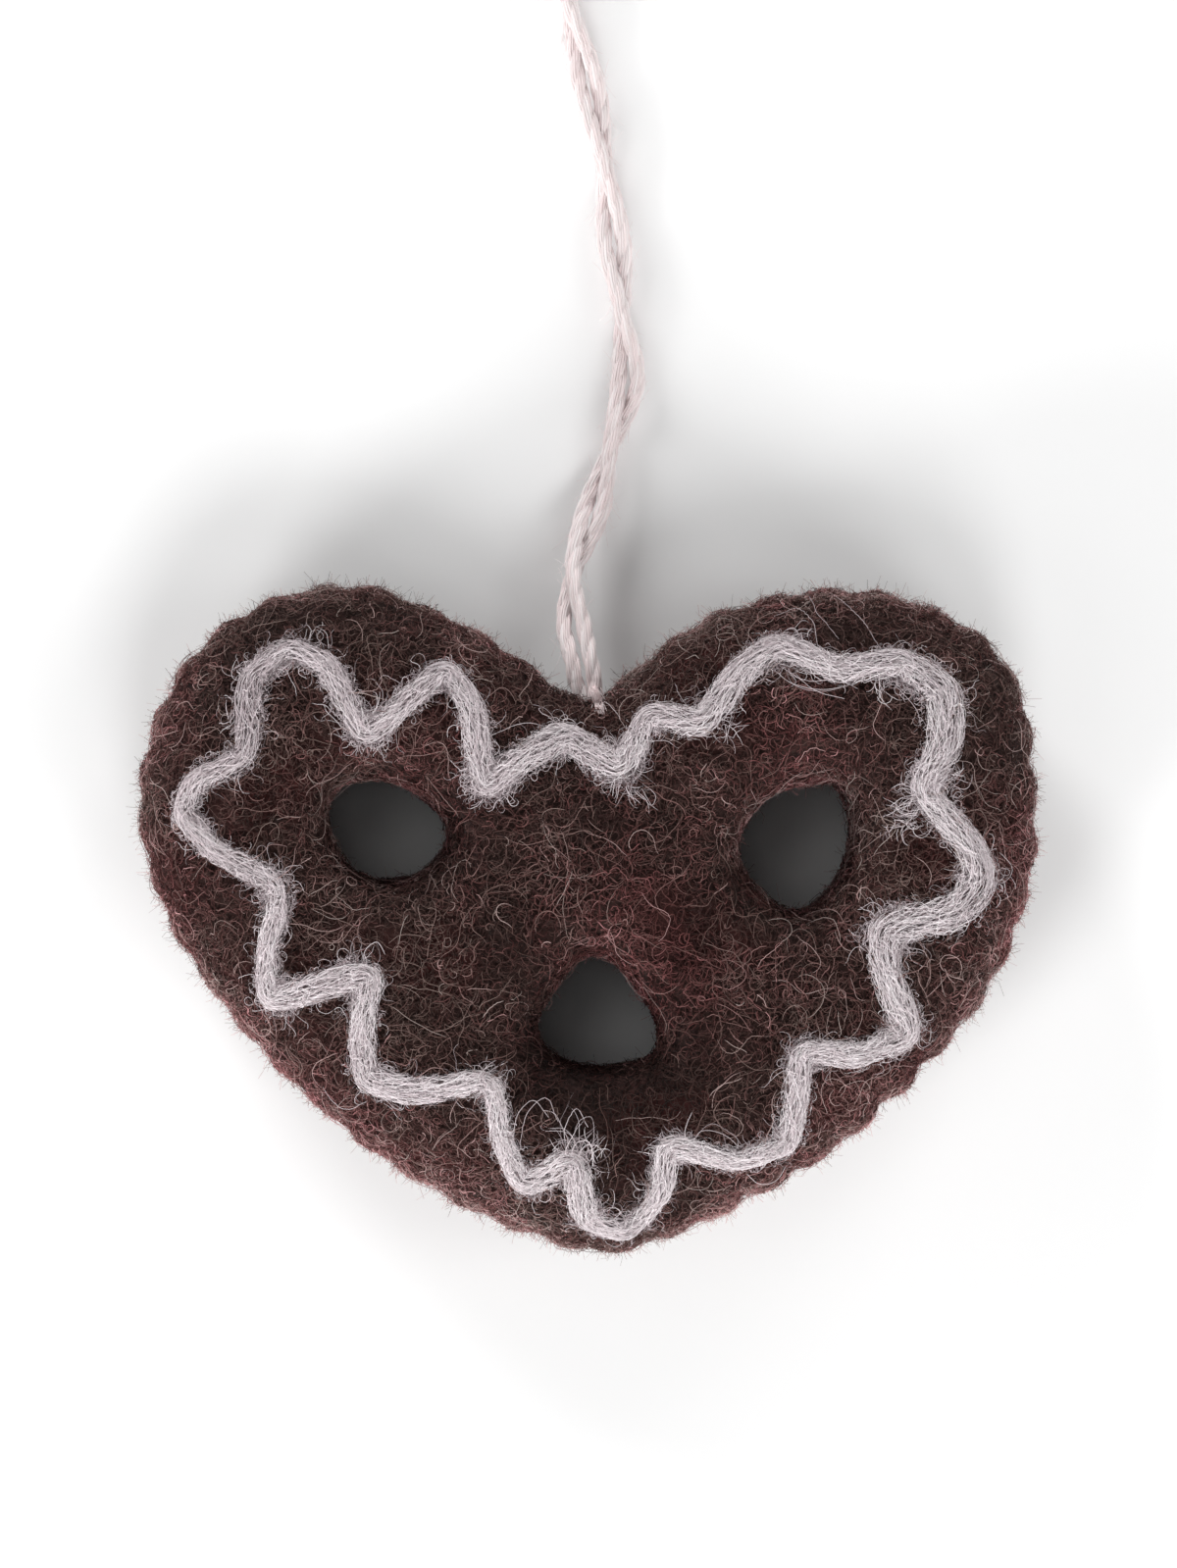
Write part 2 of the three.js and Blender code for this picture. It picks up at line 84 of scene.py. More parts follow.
# The icing's closed zigzag, as shares of the heart's width and height, with its width in millimetres
ICING_POINTS = [
    (-0.446, 0.16, 2.2), (-0.434, 0.206, 2.1), (-0.377, 0.247, 2.2), (-0.374, 0.318, 3.0),
    (-0.369, 0.362, 2.6), (-0.33, 0.401, 2.0), (-0.289, 0.378, 2.6), (-0.245, 0.279, 2.4),
    (-0.159, 0.369, 2.3), (-0.13, 0.316, 2.7), (-0.111, 0.199, 2.6), (-0.067, 0.245, 2.9),
    (-0.028, 0.269, 3.3), (0.038, 0.226, 3.0), (0.073, 0.303, 2.5), (0.128, 0.294, 3.0),
    (0.171, 0.367, 3.0), (0.211, 0.404, 2.8), (0.278, 0.372, 2.8), (0.349, 0.38, 3.2),
    (0.393, 0.339, 3.6), (0.396, 0.272, 3.8), (0.373, 0.194, 2.8), (0.424, 0.108, 3.0),
    (0.431, 0.06, 4.0), (0.409, 0.016, 3.7), (0.328, -0.015, 3.4), (0.331, -0.077, 2.9),
    (0.353, -0.163, 2.9), (0.298, -0.196, 2.5), (0.237, -0.195, 2.3), (0.229, -0.268, 2.6),
    (0.22, -0.325, 2.5), (0.166, -0.352, 2.3), (0.09, -0.332, 2.5), (0.08, -0.398, 2.4),
    (0.04, -0.456, 2.5), (-0.001, -0.436, 2.6), (-0.015, -0.354, 2.9), (-0.068, -0.387, 2.6),
    (-0.092, -0.33, 2.2), (-0.108, -0.239, 2.1), (-0.196, -0.25, 2.8), (-0.245, -0.228, 2.9),
    (-0.248, -0.138, 2.4), (-0.241, -0.077, 2.9), (-0.349, -0.113, 2.7), (-0.353, -0.046, 2.1),
    (-0.342, 0.051, 2.4), (-0.413, 0.107, 2.2),
]


# Camera, straight over the photograph's middle
CAMERA_DISTANCE, SENSOR_WIDTH = 750 * MM, 36


def make_camera():
    data = bpy.data.cameras.new("camera")
    data.sensor_width = SENSOR_WIDTH
    data.lens = SENSOR_WIDTH * CAMERA_DISTANCE / (PHOTO_HIGH * PIXEL)
    data.clip_start, data.clip_end = 0.05, 10
    camera = bpy.data.objects.new("camera", data)
    bpy.context.scene.collection.objects.link(camera)
    camera.location = (
        (PHOTO_WIDE / 2 - HEART_PIXEL[0]) * PIXEL,
        (HEART_PIXEL[1] - PHOTO_HIGH / 2) * PIXEL,
        SEAM_LEVEL + CAMERA_DISTANCE,
    )
    bpy.context.scene.camera = camera


def at_pixel(x, y):
    """A photograph's pixel as x and y at the seam's level."""
    return np.array([(x - HEART_PIXEL[0]) * PIXEL, (HEART_PIXEL[1] - y) * PIXEL])


# Curves and meshes from arrays
def unit(v):
    return v / np.maximum(np.linalg.norm(v, axis=-1, keepdims=True), 1e-12)


def dot(a, b):
    return np.sum(a * b, axis=-1, keepdims=True)


def apart(points, spot):
    """How far points are from a spot, seen from above."""
    return np.linalg.norm(points[:, :2] - spot, axis=1)


def fading(away, reach):
    """1 where away is 0, falling to nearly 0 at twice the reach."""
    return np.exp(-((away / reach) ** 2))


def smooth_line(points, step, closed=False):
    """Evenly spaced points on a centripetal Catmull-Rom curve through the given ones."""
    p = np.array(points, float)
    if closed:
        p = np.concatenate([p[-1:], p, p[:2]])
    else:
        p = np.concatenate([[2 * p[0] - p[1]], p, [2 * p[-1] - p[-2]]])
    fine = []
    for a, b, c, d in zip(p, p[1:], p[2:], p[3:]):
        gaps = np.sqrt([np.linalg.norm(b - a), np.linalg.norm(c - b), np.linalg.norm(d - c)])
        t0, t1, t2, t3 = np.concatenate([[0], np.cumsum(gaps)])
        t = np.linspace(t1, t2, 40, endpoint=False)[:, None]
        ab = (t1 - t) / (t1 - t0) * a + (t - t0) / (t1 - t0) * b
        bc = (t2 - t) / (t2 - t1) * b + (t - t1) / (t2 - t1) * c
        cd = (t3 - t) / (t3 - t2) * c + (t - t2) / (t3 - t2) * d
        abc = (t2 - t) / (t2 - t0) * ab + (t - t0) / (t2 - t0) * bc
        bcd = (t3 - t) / (t3 - t1) * bc + (t - t1) / (t3 - t1) * cd
        fine.append((t2 - t) / (t2 - t1) * abc + (t - t1) / (t2 - t1) * bcd)
    fine = np.concatenate([*fine, p[-2:-1]])
    reach = np.concatenate([[0], np.cumsum(np.linalg.norm(np.diff(fine, axis=0), axis=1))])
    wanted = np.linspace(0, reach[-1], max(2, round(reach[-1] / step)) + 1)
    if closed:
        wanted = wanted[:-1]
    return np.stack([np.interp(wanted, reach, column) for column in fine.T], axis=1)


def carried_frames(lines):
    """Two directions square to each line, carried along it without twisting. lines is (n, steps, 3)."""
    along = unit(np.gradient(lines, axis=1))
    least = np.eye(3)[np.argmin(np.abs(along[:, 0]), axis=1)]
    side = np.empty_like(along)
    side[:, 0] = unit(np.cross(along[:, 0], least))
    for k in range(1, lines.shape[1]):
        side[:, k] = unit(side[:, k - 1] - along[:, k] * dot(side[:, k - 1], along[:, k]))
    return side, np.cross(along, side)


def add_mesh(name, vertices, faces):
    """An object from (n, 3) vertices and (m, corners) faces, which all have as many corners."""
    mesh = bpy.data.meshes.new(name)
    mesh.vertices.add(len(vertices))
    mesh.vertices.foreach_set("co", np.asarray(vertices, np.float32).ravel())
    mesh.loops.add(faces.size)
    mesh.loops.foreach_set("vertex_index", faces.astype(np.int32).ravel())
    mesh.polygons.add(len(faces))
    mesh.polygons.foreach_set("loop_start", np.arange(len(faces), dtype=np.int32) * faces.shape[1])
    mesh.polygons.foreach_set("use_smooth", np.ones(len(faces), bool))
    mesh.update(calc_edges=True)
    piece = bpy.data.objects.new(name, mesh)
    bpy.context.scene.collection.objects.link(piece)
    return piece


def grid(rows, columns):
    """The row and the column of each place in a grid."""
    return (part.ravel() for part in np.meshgrid(np.arange(rows), np.arange(columns), indexing="ij"))


def tubes(lines, radius, sides):
    """Vertices and triangles of closed tubes along lines (n, steps, 3)."""
    count, steps = lines.shape[:2]
    side, across = carried_frames(lines)
    turn = 2 * math.pi * np.arange(sides)[:, None] / sides
    ring = side[:, :, None] * np.cos(turn) + across[:, :, None] * np.sin(turn)
    thick = np.broadcast_to(radius, (count, steps))[:, :, None, None]
    vertices = (lines[:, :, None] + ring * thick).reshape(-1, 3)
    k, s = grid(steps - 1, sides)
    after = (s + 1) % sides
    near, far = k * sides, (k + 1) * sides
    walls = [near + s, near + after, far + after, near + s, far + after, far + s]
    walls = np.stack(walls, -1).reshape(-1, 3)
    fan = np.stack([np.zeros(sides - 2, int), np.arange(1, sides - 1), np.arange(2, sides)], -1)
    one = np.concatenate([walls, fan[:, ::-1], fan + (steps - 1) * sides])
    first = np.arange(count)[:, None, None] * steps * sides
    return vertices, (first + one).reshape(-1, 3)


def add_strands(name, lines, radius, tone, tint, look, slot, sides=3, body="heart"):
    """A piece of closed thin tubes along lines (n, steps, 3), which rides on the body. Its UV map holds
    each strand's tone and tint, both from 0 to 1."""
    vertices, faces = tubes(lines, radius, sides)
    piece = add_mesh(name, vertices, faces)
    owner = faces // (lines.shape[1] * sides)
    corner = np.array([[-1, -1], [1, -1], [0, 1]]) * UV_HALF
    middle = np.stack([np.clip(tone, 0, 1)[owner], np.clip(tint, 0, 1)[owner]], -1)
    uv = middle * (1 - 4 * UV_HALF) + 2 * UV_HALF + corner
    layer = piece.data.uv_layers.new(name=TONE_MAP)
    layer.uv.foreach_set("vector", uv.astype(np.float32).ravel())
    piece.data.materials.append(look)
    if body:
        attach(piece, body)
    return piece


# Materials
class Nodes:
    """A material's nodes, with short ways to add and join them."""

    def __init__(self, name, roughness, specular, sheen=0.0):
        self.material = bpy.data.materials.new(name)
        self.material.use_nodes = True
        self.tree = self.material.node_tree
        self.shader = self.tree.nodes["Principled BSDF"]
        self.shader.inputs["Roughness"].default_value = roughness
        self.shader.inputs["Specular IOR Level"].default_value = specular
        self.shader.inputs["Sheen Weight"].default_value = sheen

    def add(self, kind, **settings):
        node = self.tree.nodes.new(kind)
        for key, value in settings.items():
            setattr(node, key, value)
        return node

    def join(self, out, into):
        self.tree.links.new(out, into)

    def noise(self, scale, detail, stretch=(1, 1, 1)):
        """Noise with this many lumps to the metre."""
        place = self.add("ShaderNodeTexCoord")
        mapping = self.add("ShaderNodeMapping")
        mapping.inputs["Scale"].default_value = stretch
        self.join(place.outputs["Object"], mapping.inputs["Vector"])
        noise_node = self.add("ShaderNodeTexNoise")
        noise_node.inputs["Scale"].default_value = scale
        noise_node.inputs["Detail"].default_value = detail
        self.join(mapping.outputs["Vector"], noise_node.inputs["Vector"])
        return noise_node.outputs["Fac"]

    def ramp(self, value, stops):
        """Colours at places from 0 to 1."""
        node = self.add("ShaderNodeValToRGB")
        elements = node.color_ramp.elements
        elements[0].position, elements[1].position = stops[0][0], stops[-1][0]
        elements[0].color, elements[1].color = (*stops[0][1], 1), (*stops[-1][1], 1)
        for place, colour in stops[1:-1]:
            elements.new(place).color = (*colour, 1)
        self.join(value, node.inputs["Fac"])
        return node.outputs["Color"]

    def mix(self, share, a, b, blend="MIX"):
        node = self.add("ShaderNodeMix", data_type="RGBA", blend_type=blend)
        for key, value in (("Factor", share), ("A", a), ("B", b)):
            socket = next(s for s in node.inputs if s.name == key and s.enabled)
            if isinstance(value, bpy.types.NodeSocket):
                self.join(value, socket)
            else:
                socket.default_value = value if key == "Factor" else (*value, 1)
        return next(s for s in node.outputs if s.enabled)

    def bump(self, height, depth):
        node = self.add("ShaderNodeBump")
        node.inputs["Strength"].default_value = 1
        node.inputs["Distance"].default_value = depth
        self.join(height, node.inputs["Height"])
        self.join(node.outputs["Normal"], self.shader.inputs["Normal"])

    def colour(self, out):
        self.join(out, self.shader.inputs["Base Color"])
        return self.material


def strand_look(name, stops, tinted):
    """Colour by a strand's tone, times the tinted colour by its tint."""
    nodes = Nodes(name, roughness=0.7, specular=0.2)
    place = nodes.add("ShaderNodeUVMap", uv_map=TONE_MAP)
    parts = nodes.add("ShaderNodeSeparateXYZ")
    nodes.join(place.outputs["UV"], parts.inputs[0])
    plain = nodes.ramp(parts.outputs["X"], stops)
    return nodes.colour(nodes.mix(parts.outputs["Y"], plain, nodes.mix(1.0, plain, tinted, "MULTIPLY")))


def felt_look(name, stops, reddened):
    """Matted wool: fine and broad mottling, reddish patches and a fibrous bump."""
    nodes = Nodes(name, roughness=0.95, specular=0.05, sheen=0.1)
    broad = nodes.noise(180, 2)
    fine = nodes.noise(1500, 4)
    mottled = nodes.mix(0.6, nodes.ramp(broad, stops), nodes.ramp(fine, stops))
    patches = nodes.ramp(nodes.noise(70, 1), [(0.5, (0, 0, 0)), (0.7, (1, 1, 1))])
    nodes.bump(nodes.noise(1800, 5, stretch=(1, 1, 0.6)), 0.25 * MM)
    return nodes.colour(nodes.mix(patches, mottled, nodes.mix(1.0, mottled, reddened, "MULTIPLY")))


BROWN_FIBRE = strand_look(
    "brown_fibre",
    [
        (0.0, (0.010, 0.006, 0.005)),
        (0.35, (0.045, 0.024, 0.020)),
        (0.6, (0.110, 0.068, 0.058)),
        (0.85, (0.250, 0.180, 0.160)),
        (1.0, (0.480, 0.400, 0.370)),
    ],
    tinted=(1.3, 0.7, 0.79),
)
# The felt under the fibres: its own dark brown, made darker than the fibres as painted shade in the gaps
# of the mat
BROWN_FELT = felt_look(
    "brown_felt",
    [(0.3, (0.018, 0.010, 0.009)), (0.7, (0.062, 0.034, 0.030))],
    reddened=(1.4, 0.75, 0.8),
)
BROWN_THREAD = strand_look(
    "brown_thread",
    [(0.0, (0.015, 0.008, 0.007)), (1.0, (0.080, 0.042, 0.036))],
    tinted=(1.3, 0.8, 0.8),
)
ICING_FIBRE = strand_look(
    "icing_fibre",
    [
        (0.0, (0.07, 0.05, 0.05)),
        (0.2, (0.36, 0.30, 0.31)),
        (0.55, (0.78, 0.71, 0.73)),
        (1.0, (0.95, 0.91, 0.92)),
    ],
    tinted=(1.0, 0.9, 0.93),
)
# The icing's deep wool, painted dark as the shade under the icing's strands
ICING_PAINTED_SHADE = felt_look(
    "icing_painted_shade",
    [(0.3, (0.10, 0.08, 0.08)), (0.7, (0.36, 0.32, 0.33))],
    reddened=(1.0, 0.88, 0.92),
)
STRING_FIBRE = strand_look(
    "string_fibre",
    [(0.0, (0.55, 0.46, 0.46)), (0.5, (0.84, 0.77, 0.77)), (1.0, (0.95, 0.91, 0.91))],
    tinted=(1.0, 0.88, 0.88),
)
WHITE_FILLING = felt_look(
    "white_filling",
    [(0.3, (0.45, 0.43, 0.40)), (0.7, (0.75, 0.72, 0.68))],
    reddened=(1.0, 0.97, 0.94),
)


# The string: three soft plies, each of yarns wound the other way round a thick core
PLIES, YARNS = 3, 11
PLY_PITCH, YARN_PITCH = 7 * MM, 5.6 * MM
PLY_RADIUS, YARN_RADIUS = 0.185 * STRING_DIAMETER, 0.265 * STRING_DIAMETER
YARN_THICKNESS, CORE_THICKNESS = 0.12 * MM, 0.38 * MM
END_OVERLAP = 4  # steps of the loop that its ends run up inside
STRING_STEP, INNER_RUN = 0.5 * MM, 8 * MM
# Where the string passes the mouth in the seam, both runs of it lie close together
MOUTH_X, MOUTH_Y, MOUTH_DEPTH = 0.4 * MM, 18.9 * MM, 1.5 * MM
DRAWN_IN_SHARE = 0.42


def drawn_in(points):
    """Points on the string's two runs, drawn together where they pass the mouth."""
    moved = points.copy()
    near = fading(points[:, 1] - MOUTH_Y, MOUTH_DEPTH)
    moved[:, 0] += (MOUTH_X - points[:, 0]) * DRAWN_IN_SHARE * near
    return moved


def plied(route):
    """The yarns' lines round a route, with the two directions square to it."""
    side, across = (v[0] for v in carried_frames(route[None]))
    at = np.concatenate([[0], np.cumsum(np.linalg.norm(np.diff(route, axis=0), axis=1))])[:, None]

    def around(angle, distance):
        return (side * np.cos(angle) + across * np.sin(angle)) * distance

    lines = []
    for ply in range(PLIES):
        ply_angle = 2 * math.pi * (ply / PLIES + at / PLY_PITCH)
        middle = route + around(ply_angle, PLY_RADIUS)
        lines.append(middle)
        for yarn in range(YARNS):
            angle = ply_angle + 2 * math.pi * (yarn / YARNS - at / YARN_PITCH)
            lines.append(middle + around(angle, YARN_RADIUS))
    return np.array(lines), side, across


def make_string():
    """The free loop and, on from its ends, the two runs through the mouth in the seam to the knot. All
    are cut from one plied length."""
    rng = np.random.default_rng(11)
    corners = (np.array(STRING_ROUTE) + [0, NOTCH_Y, 0]) * MM
    route = smooth_line(corners, STRING_STEP)
    down = np.arange(STRING_STEP, INNER_RUN, STRING_STEP)[:, None] * [0, -1, 0]
    ends = [drawn_in(corner + down) for corner in (corners[0], corners[-1])]
    whole = np.concatenate([ends[0][::-1], route, ends[1]])
    lines, side, across = plied(whole)
    radius = YARN_THICKNESS * rng.uniform(0.85, 1.15, (len(lines), 1))
    radius[:: YARNS + 1] = CORE_THICKNESS
    tone, tint = rng.uniform(0.4, 0.8, len(lines)), rng.uniform(0, 0.5, len(lines))
    first, last = len(ends[0]), len(ends[0]) + len(route)
    shades = (tone, tint, STRING_FIBRE, "string", 5, None)
    string = add_strands("string", lines[:, first:last], radius, *shades)
    # Each end covers the loop's first steps, then tapers off inside them
    taper = np.full(first + END_OVERLAP, 1.04)
    taper[-3:] = [1.0, 0.95, 0.8]
    ends = [
        add_strands("string_end_0", lines[:, : len(taper)], radius * taper, *shades),
        add_strands("string_end_1", lines[:, -len(taper) :], radius * taper[::-1], *shades),
    ]
    hairs = string_hairs(route, side[first:last], across[first:last], rng)
    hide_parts("hanging_loop")
    for piece in (string, hairs, *ends):
        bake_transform(piece)


# The tail's way over the front, in the photograph's pixels
TAIL_PIXELS = [(605, 703), (609, 711), (611, 718), (612, 726)]


def make_tail(surface):
    """The string's short frayed tail, which rises from the seam and lies over the front at the notch."""
    rng = np.random.default_rng(13)
    count, steps = 180, 12
    flat = smooth_line([(*at_pixel(*pixel), 0) for pixel in TAIL_PIXELS], 0.05 * MM)[:, :2]
    reach = rng.uniform(0.45, 1, count)
    at = (reach[:, None] * np.linspace(0, 1, steps) * (len(flat) - 1)).astype(int)
    run = np.linspace(0, 1, steps)[None, :, None]
    spread = rng.normal(0, 0.15, (count, 1, 2))
    fanned = rng.normal(0, 0.2, (count, 1, 2)) * run**2
    plan = flat[at] + (spread + fanned) * MM
    lowest = SEAM_LEVEL + 1.5 * MM
    level = surface.level_under(plan.reshape(-1, 2), lowest).reshape(count, steps)
    level = np.maximum(level, lowest) + rng.uniform(0.8, 1.35, (count, 1)) * MM
    risen = np.clip(run[:, :, 0] / 0.22, 0, 1)
    level = SEAM_LEVEL * (1 - risen) + level * risen
    lines = np.concatenate([plan, level[:, :, None]], axis=2)
    tone, tint = rng.uniform(0.1, 0.7, count), rng.uniform(0.3, 1, count)
    add_strands("string_tail", lines, 0.035 * MM, tone, tint, STRING_FIBRE, "string")


def string_hairs(route, side, across, rng):
    """Short loose hairs that leave the string at low angles."""
    count, steps = 900, 6
    at = rng.integers(4, len(route) - 4, count)
    angle = rng.uniform(0, 2 * math.pi, (count, 1))
    out = side[at] * np.cos(angle) + across[at] * np.sin(angle)
    along = unit(route[at + 1] - route[at]) * rng.choice([-1, 1], (count, 1))
    run = np.linspace(0, 1, steps)[None, :, None]
    long = rng.uniform(0.8, 2.4, (count, 1, 1)) * MM
    rise = rng.uniform(0.05, 0.5, (count, 1, 1))
    swing = np.cross(along, out)[:, None] * rng.normal(0, 0.35, (count, 1, 1))
    start = (route[at] + out * STRING_DIAMETER * 0.42)[:, None]
    way = along[:, None] * run + out[:, None] * rise * run**1.5 + swing * run**2
    lines = start + way * long
    lines[:, :, 2] = np.maximum(lines[:, :, 2], 0.05 * MM)
    tone, tint = rng.uniform(0.5, 1, count), rng.uniform(0, 0.6, count)
    return add_strands("string_hairs", lines, 0.016 * MM, tone, tint, STRING_FIBRE, "string", body=None)


# The seam: the solids' edge round the heart and round each hole
def seam_loops():
    """The points of the front solid's edge round the heart and round each hole, in order. There its
    outer face meets its inner one."""
    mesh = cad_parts["felt_front"].data
    upper, lower = set(), set()
    for face in mesh.polygons:
        side = upper if face.normal.z > 0 else lower
        side.update(tuple(round(c, 6) for c in mesh.vertices[i].co) for i in face.vertices)
    edge = np.array(sorted(upper & lower))[:, :2]
    edge = edge[np.append(True, np.linalg.norm(np.diff(edge, axis=0), axis=1) > 0.01 * MM)]
    room = HOLE_REACH + 0.5 * MM
    loops = [edge[np.all([apart(edge, hole) > room for hole in HOLES], axis=0)]]
    loops += [edge[apart(edge, hole) < room] for hole in HOLES]
    for loop in loops:
        away = loop - loop.mean(axis=0)
        loop[:] = loop[np.argsort(np.arctan2(away[:, 1], away[:, 0]))]
    return loops


def outward_ways(loop):
    along = unit(np.roll(loop, -1, axis=0) - np.roll(loop, 1, axis=0))
    return np.column_stack([along[:, 1], -along[:, 0]])


def chosen_for_stitches(loop, outwards):
    """Which points of the rim have a stitch: those in its dips."""
    dip = -dot(loop - (np.roll(loop, 1, axis=0) + np.roll(loop, -1, axis=0)) / 2, outwards)[:, 0]
    phase = max(range(STITCH_STEPS), key=lambda p: dip[p::STITCH_STEPS].mean())
    return np.arange(phase, len(loop), STITCH_STEPS)


RIM, *HOLE_EDGES = seam_loops()


# How far the felt's edge lies in from the solid's, in millimetres, every 15 degrees round the heart from
# its right, and how much deeper its dips are at the stitches
EDGE_DRAWN_IN = [
    0, 0.4, 0.5, 0.1, -0.5, -0.35, 0, -0.35, 0.1, 0.5, 0.1, -0.1,
    0.1, 0.2, 0, -0.1, 0, 0.1, 0.3, 0.6, 1.0, 0.75, 0.95, 0.6,
]
DIP_DEPTH, DIP_MORE, DIP_REACH = 0.05 * MM, 0.32, 1.2 * MM
EDGE_REACH = 6 * MM  # how far in from the edge this goes
HOLE_WIDENED = 0.55 * MM  # how far the holes' walls move back, as fibres fill them again
# How far each sheet's edge goes to the other's, as smoothing draws them apart, and how far up that goes
LIP_BROUGHT, LIP_REACH = 0.5 * MM, 1.6 * MM


def edged(points):
    """Points of the felt, moved as its edge and its holes are in the photograph."""
    rng = np.random.default_rng(15)
    moved = points.copy()
    near = fading(np.min([apart(points, spot) for spot in RIM], axis=0), EDGE_REACH)
    moved[:, :2] -= unit(points[:, :2]) * (drawn_at(points) * near)[:, None]
    ways = outward_ways(RIM)
    depths = DIP_DEPTH + DIP_MORE * np.maximum(0, drawn_at(RIM))
    depths *= rng.uniform(0.3, 1.5, len(RIM))
    for k in chosen_for_stitches(RIM, ways):
        near = fading(apart(points, RIM[k]), DIP_REACH)
        moved[:, :2] -= ways[k] * (depths[k] * near)[:, None]
    for hole in HOLES:
        near = np.exp(-((apart(points, hole) / HOLE_REACH) ** 4))
        moved[:, :2] += unit(points[:, :2] - hole) * (HOLE_WIDENED * near)[:, None]
    return moved


def closed_up(points):
    """Points of a felt sheet, edged, with its lip brought to the other sheet's, but not at the string's
    mouth."""
    moved = edged(points)
    side = math.copysign(1, moved[:, 2].mean() - SEAM_LEVEL)
    near_seam = fading(moved[:, 2] - SEAM_LEVEL, LIP_REACH)
    near_mouth = fading(apart(moved, [MOUTH_X, MOUTH_Y]), 2 * MOUTH_DEPTH)
    moved[:, 2] -= side * LIP_BROUGHT * near_seam * (1 - near_mouth)
    return moved


def drawn_at(points):
    """How far the edge is drawn in on the way from the heart's middle to these points."""
    count = len(EDGE_DRAWN_IN)
    turn = np.degrees(np.arctan2(points[:, 1], points[:, 0])) / (360 / count)
    values = [*EDGE_DRAWN_IN, EDGE_DRAWN_IN[0]]
    return MM * np.interp((turn - 0.5) % count, np.arange(count + 1), values)


# The felt sheets, filling, threads and knot: remeshed copies of the solids, softened and given lumps
STILL_REACH = 2 * MM
ABOVE_FLOOR = 0.06 * MM


def soft_copy(node, name, look, lumps, voxel, rounds, still_level=None, sunk=0.0, shape=edged):
    """A copy of a CAD node's solid as an even mesh, softened in rounds and then moved by shape. lumps
    are pairs of (size, height) in metres, near still_level the surface gets none, and sunk is how far in
    it moves all over."""
    piece = bpy.data.objects.new(name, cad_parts[node].data.copy())
    bpy.context.scene.collection.objects.link(piece)
    remesh = piece.modifiers.new("remesh", "REMESH")
    remesh.mode, remesh.voxel_size, remesh.use_smooth_shade = "VOXEL", voxel, True
    graph = bpy.context.evaluated_depsgraph_get()
    piece.data = bpy.data.meshes.new_from_object(piece.evaluated_get(graph), depsgraph=graph)
    piece.modifiers.clear()
    mesh = piece.data
    mesh.name = name
    place = np.empty(len(mesh.vertices) * 3, np.float32)
    mesh.vertices.foreach_get("co", place)
    place = place.reshape(-1, 3).astype(float)
    ends = np.empty(len(mesh.edges) * 2, np.int32)
    mesh.edges.foreach_get("vertices", ends)
    ends = np.concatenate([ends.reshape(-1, 2), ends.reshape(-1, 2)[:, ::-1]])
    shared = np.bincount(ends[:, 0], minlength=len(place))[:, None]
    for _ in range(rounds):
        columns = [np.bincount(ends[:, 0], column[ends[:, 1]], len(place)) for column in place.T]
        place = 0.5 * place + 0.5 * np.stack(columns, 1) / shared
    place = shape(place)
    mesh.vertices.foreach_set("co", place.astype(np.float32).ravel())
    mesh.update()
    normal = np.empty(len(place) * 3, np.float32)
    mesh.vertex_normals.foreach_get("vector", normal)
    normal = normal.reshape(-1, 3)
    rise = np.full(len(place), -sunk)
    for size, height in lumps:
        rise += height * np.array([noise.noise(Vector(p / size)) for p in place])
    if still_level is not None:
        rise *= np.clip(np.abs(place[:, 2] - still_level) / STILL_REACH, 0, 1)
    place += normal * rise[:, None]
    place[:, 2] = np.maximum(place[:, 2], ABOVE_FLOOR)
    mesh.vertices.foreach_set("co", place.astype(np.float32).ravel())
    mesh.update()
    mesh.materials.clear()
    mesh.materials.append(look)
    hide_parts(node)
    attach(piece, "heart")
    return piece


def make_sheets():
    lumps = [(11 * MM, 0.55 * MM), (4 * MM, 0.25 * MM), (1.6 * MM, 0.12 * MM)]
    sheets = []
    for node, slot in (("felt_front", "front_felt"), ("felt_back", "back_felt")):
        sheet = soft_copy(
            node, node + "_sheet", BROWN_FELT, lumps, voxel=0.45 * MM, rounds=8,
            still_level=SEAM_LEVEL, shape=closed_up,
        )
        sheets.append(sheet)
    return sheets


def make_hidden_pieces():
    """The filling, knot and seam threads, which the sheets close in."""
    lumps = [(6 * MM, 0.5 * MM), (2 * MM, 0.2 * MM)]
    filling = soft_copy(
        "wool_filling", "filling_tufts", WHITE_FILLING, lumps, voxel=0.8 * MM, rounds=4,
        sunk=0.7 * MM,
    )
    lumps = [(0.8 * MM, 0.12 * MM)]
    soft_copy(
        "string_knot", "knot_of_string", WHITE_FILLING, lumps, voxel=0.16 * MM, rounds=4,
        sunk=0.2 * MM, shape=drawn_in,
    )
    lumps = [(0.5 * MM, 0.04 * MM)]
    for node in sorted(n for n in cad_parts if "thread" in n):
        soft_copy(node, node + "_run", BROWN_FELT, lumps, voxel=0.18 * MM, rounds=1)


# Faces of the sheets that turn further in than this, or lie nearer to the filling, are their inner faces
INWARD, BY_FILLING = -0.25, 1 * MM
BACK_SHARE = 0.4  # how much of the front's wool the back gets
SWELL_REACH = 2.3 * MM  # from a stitch to the full swell beside it


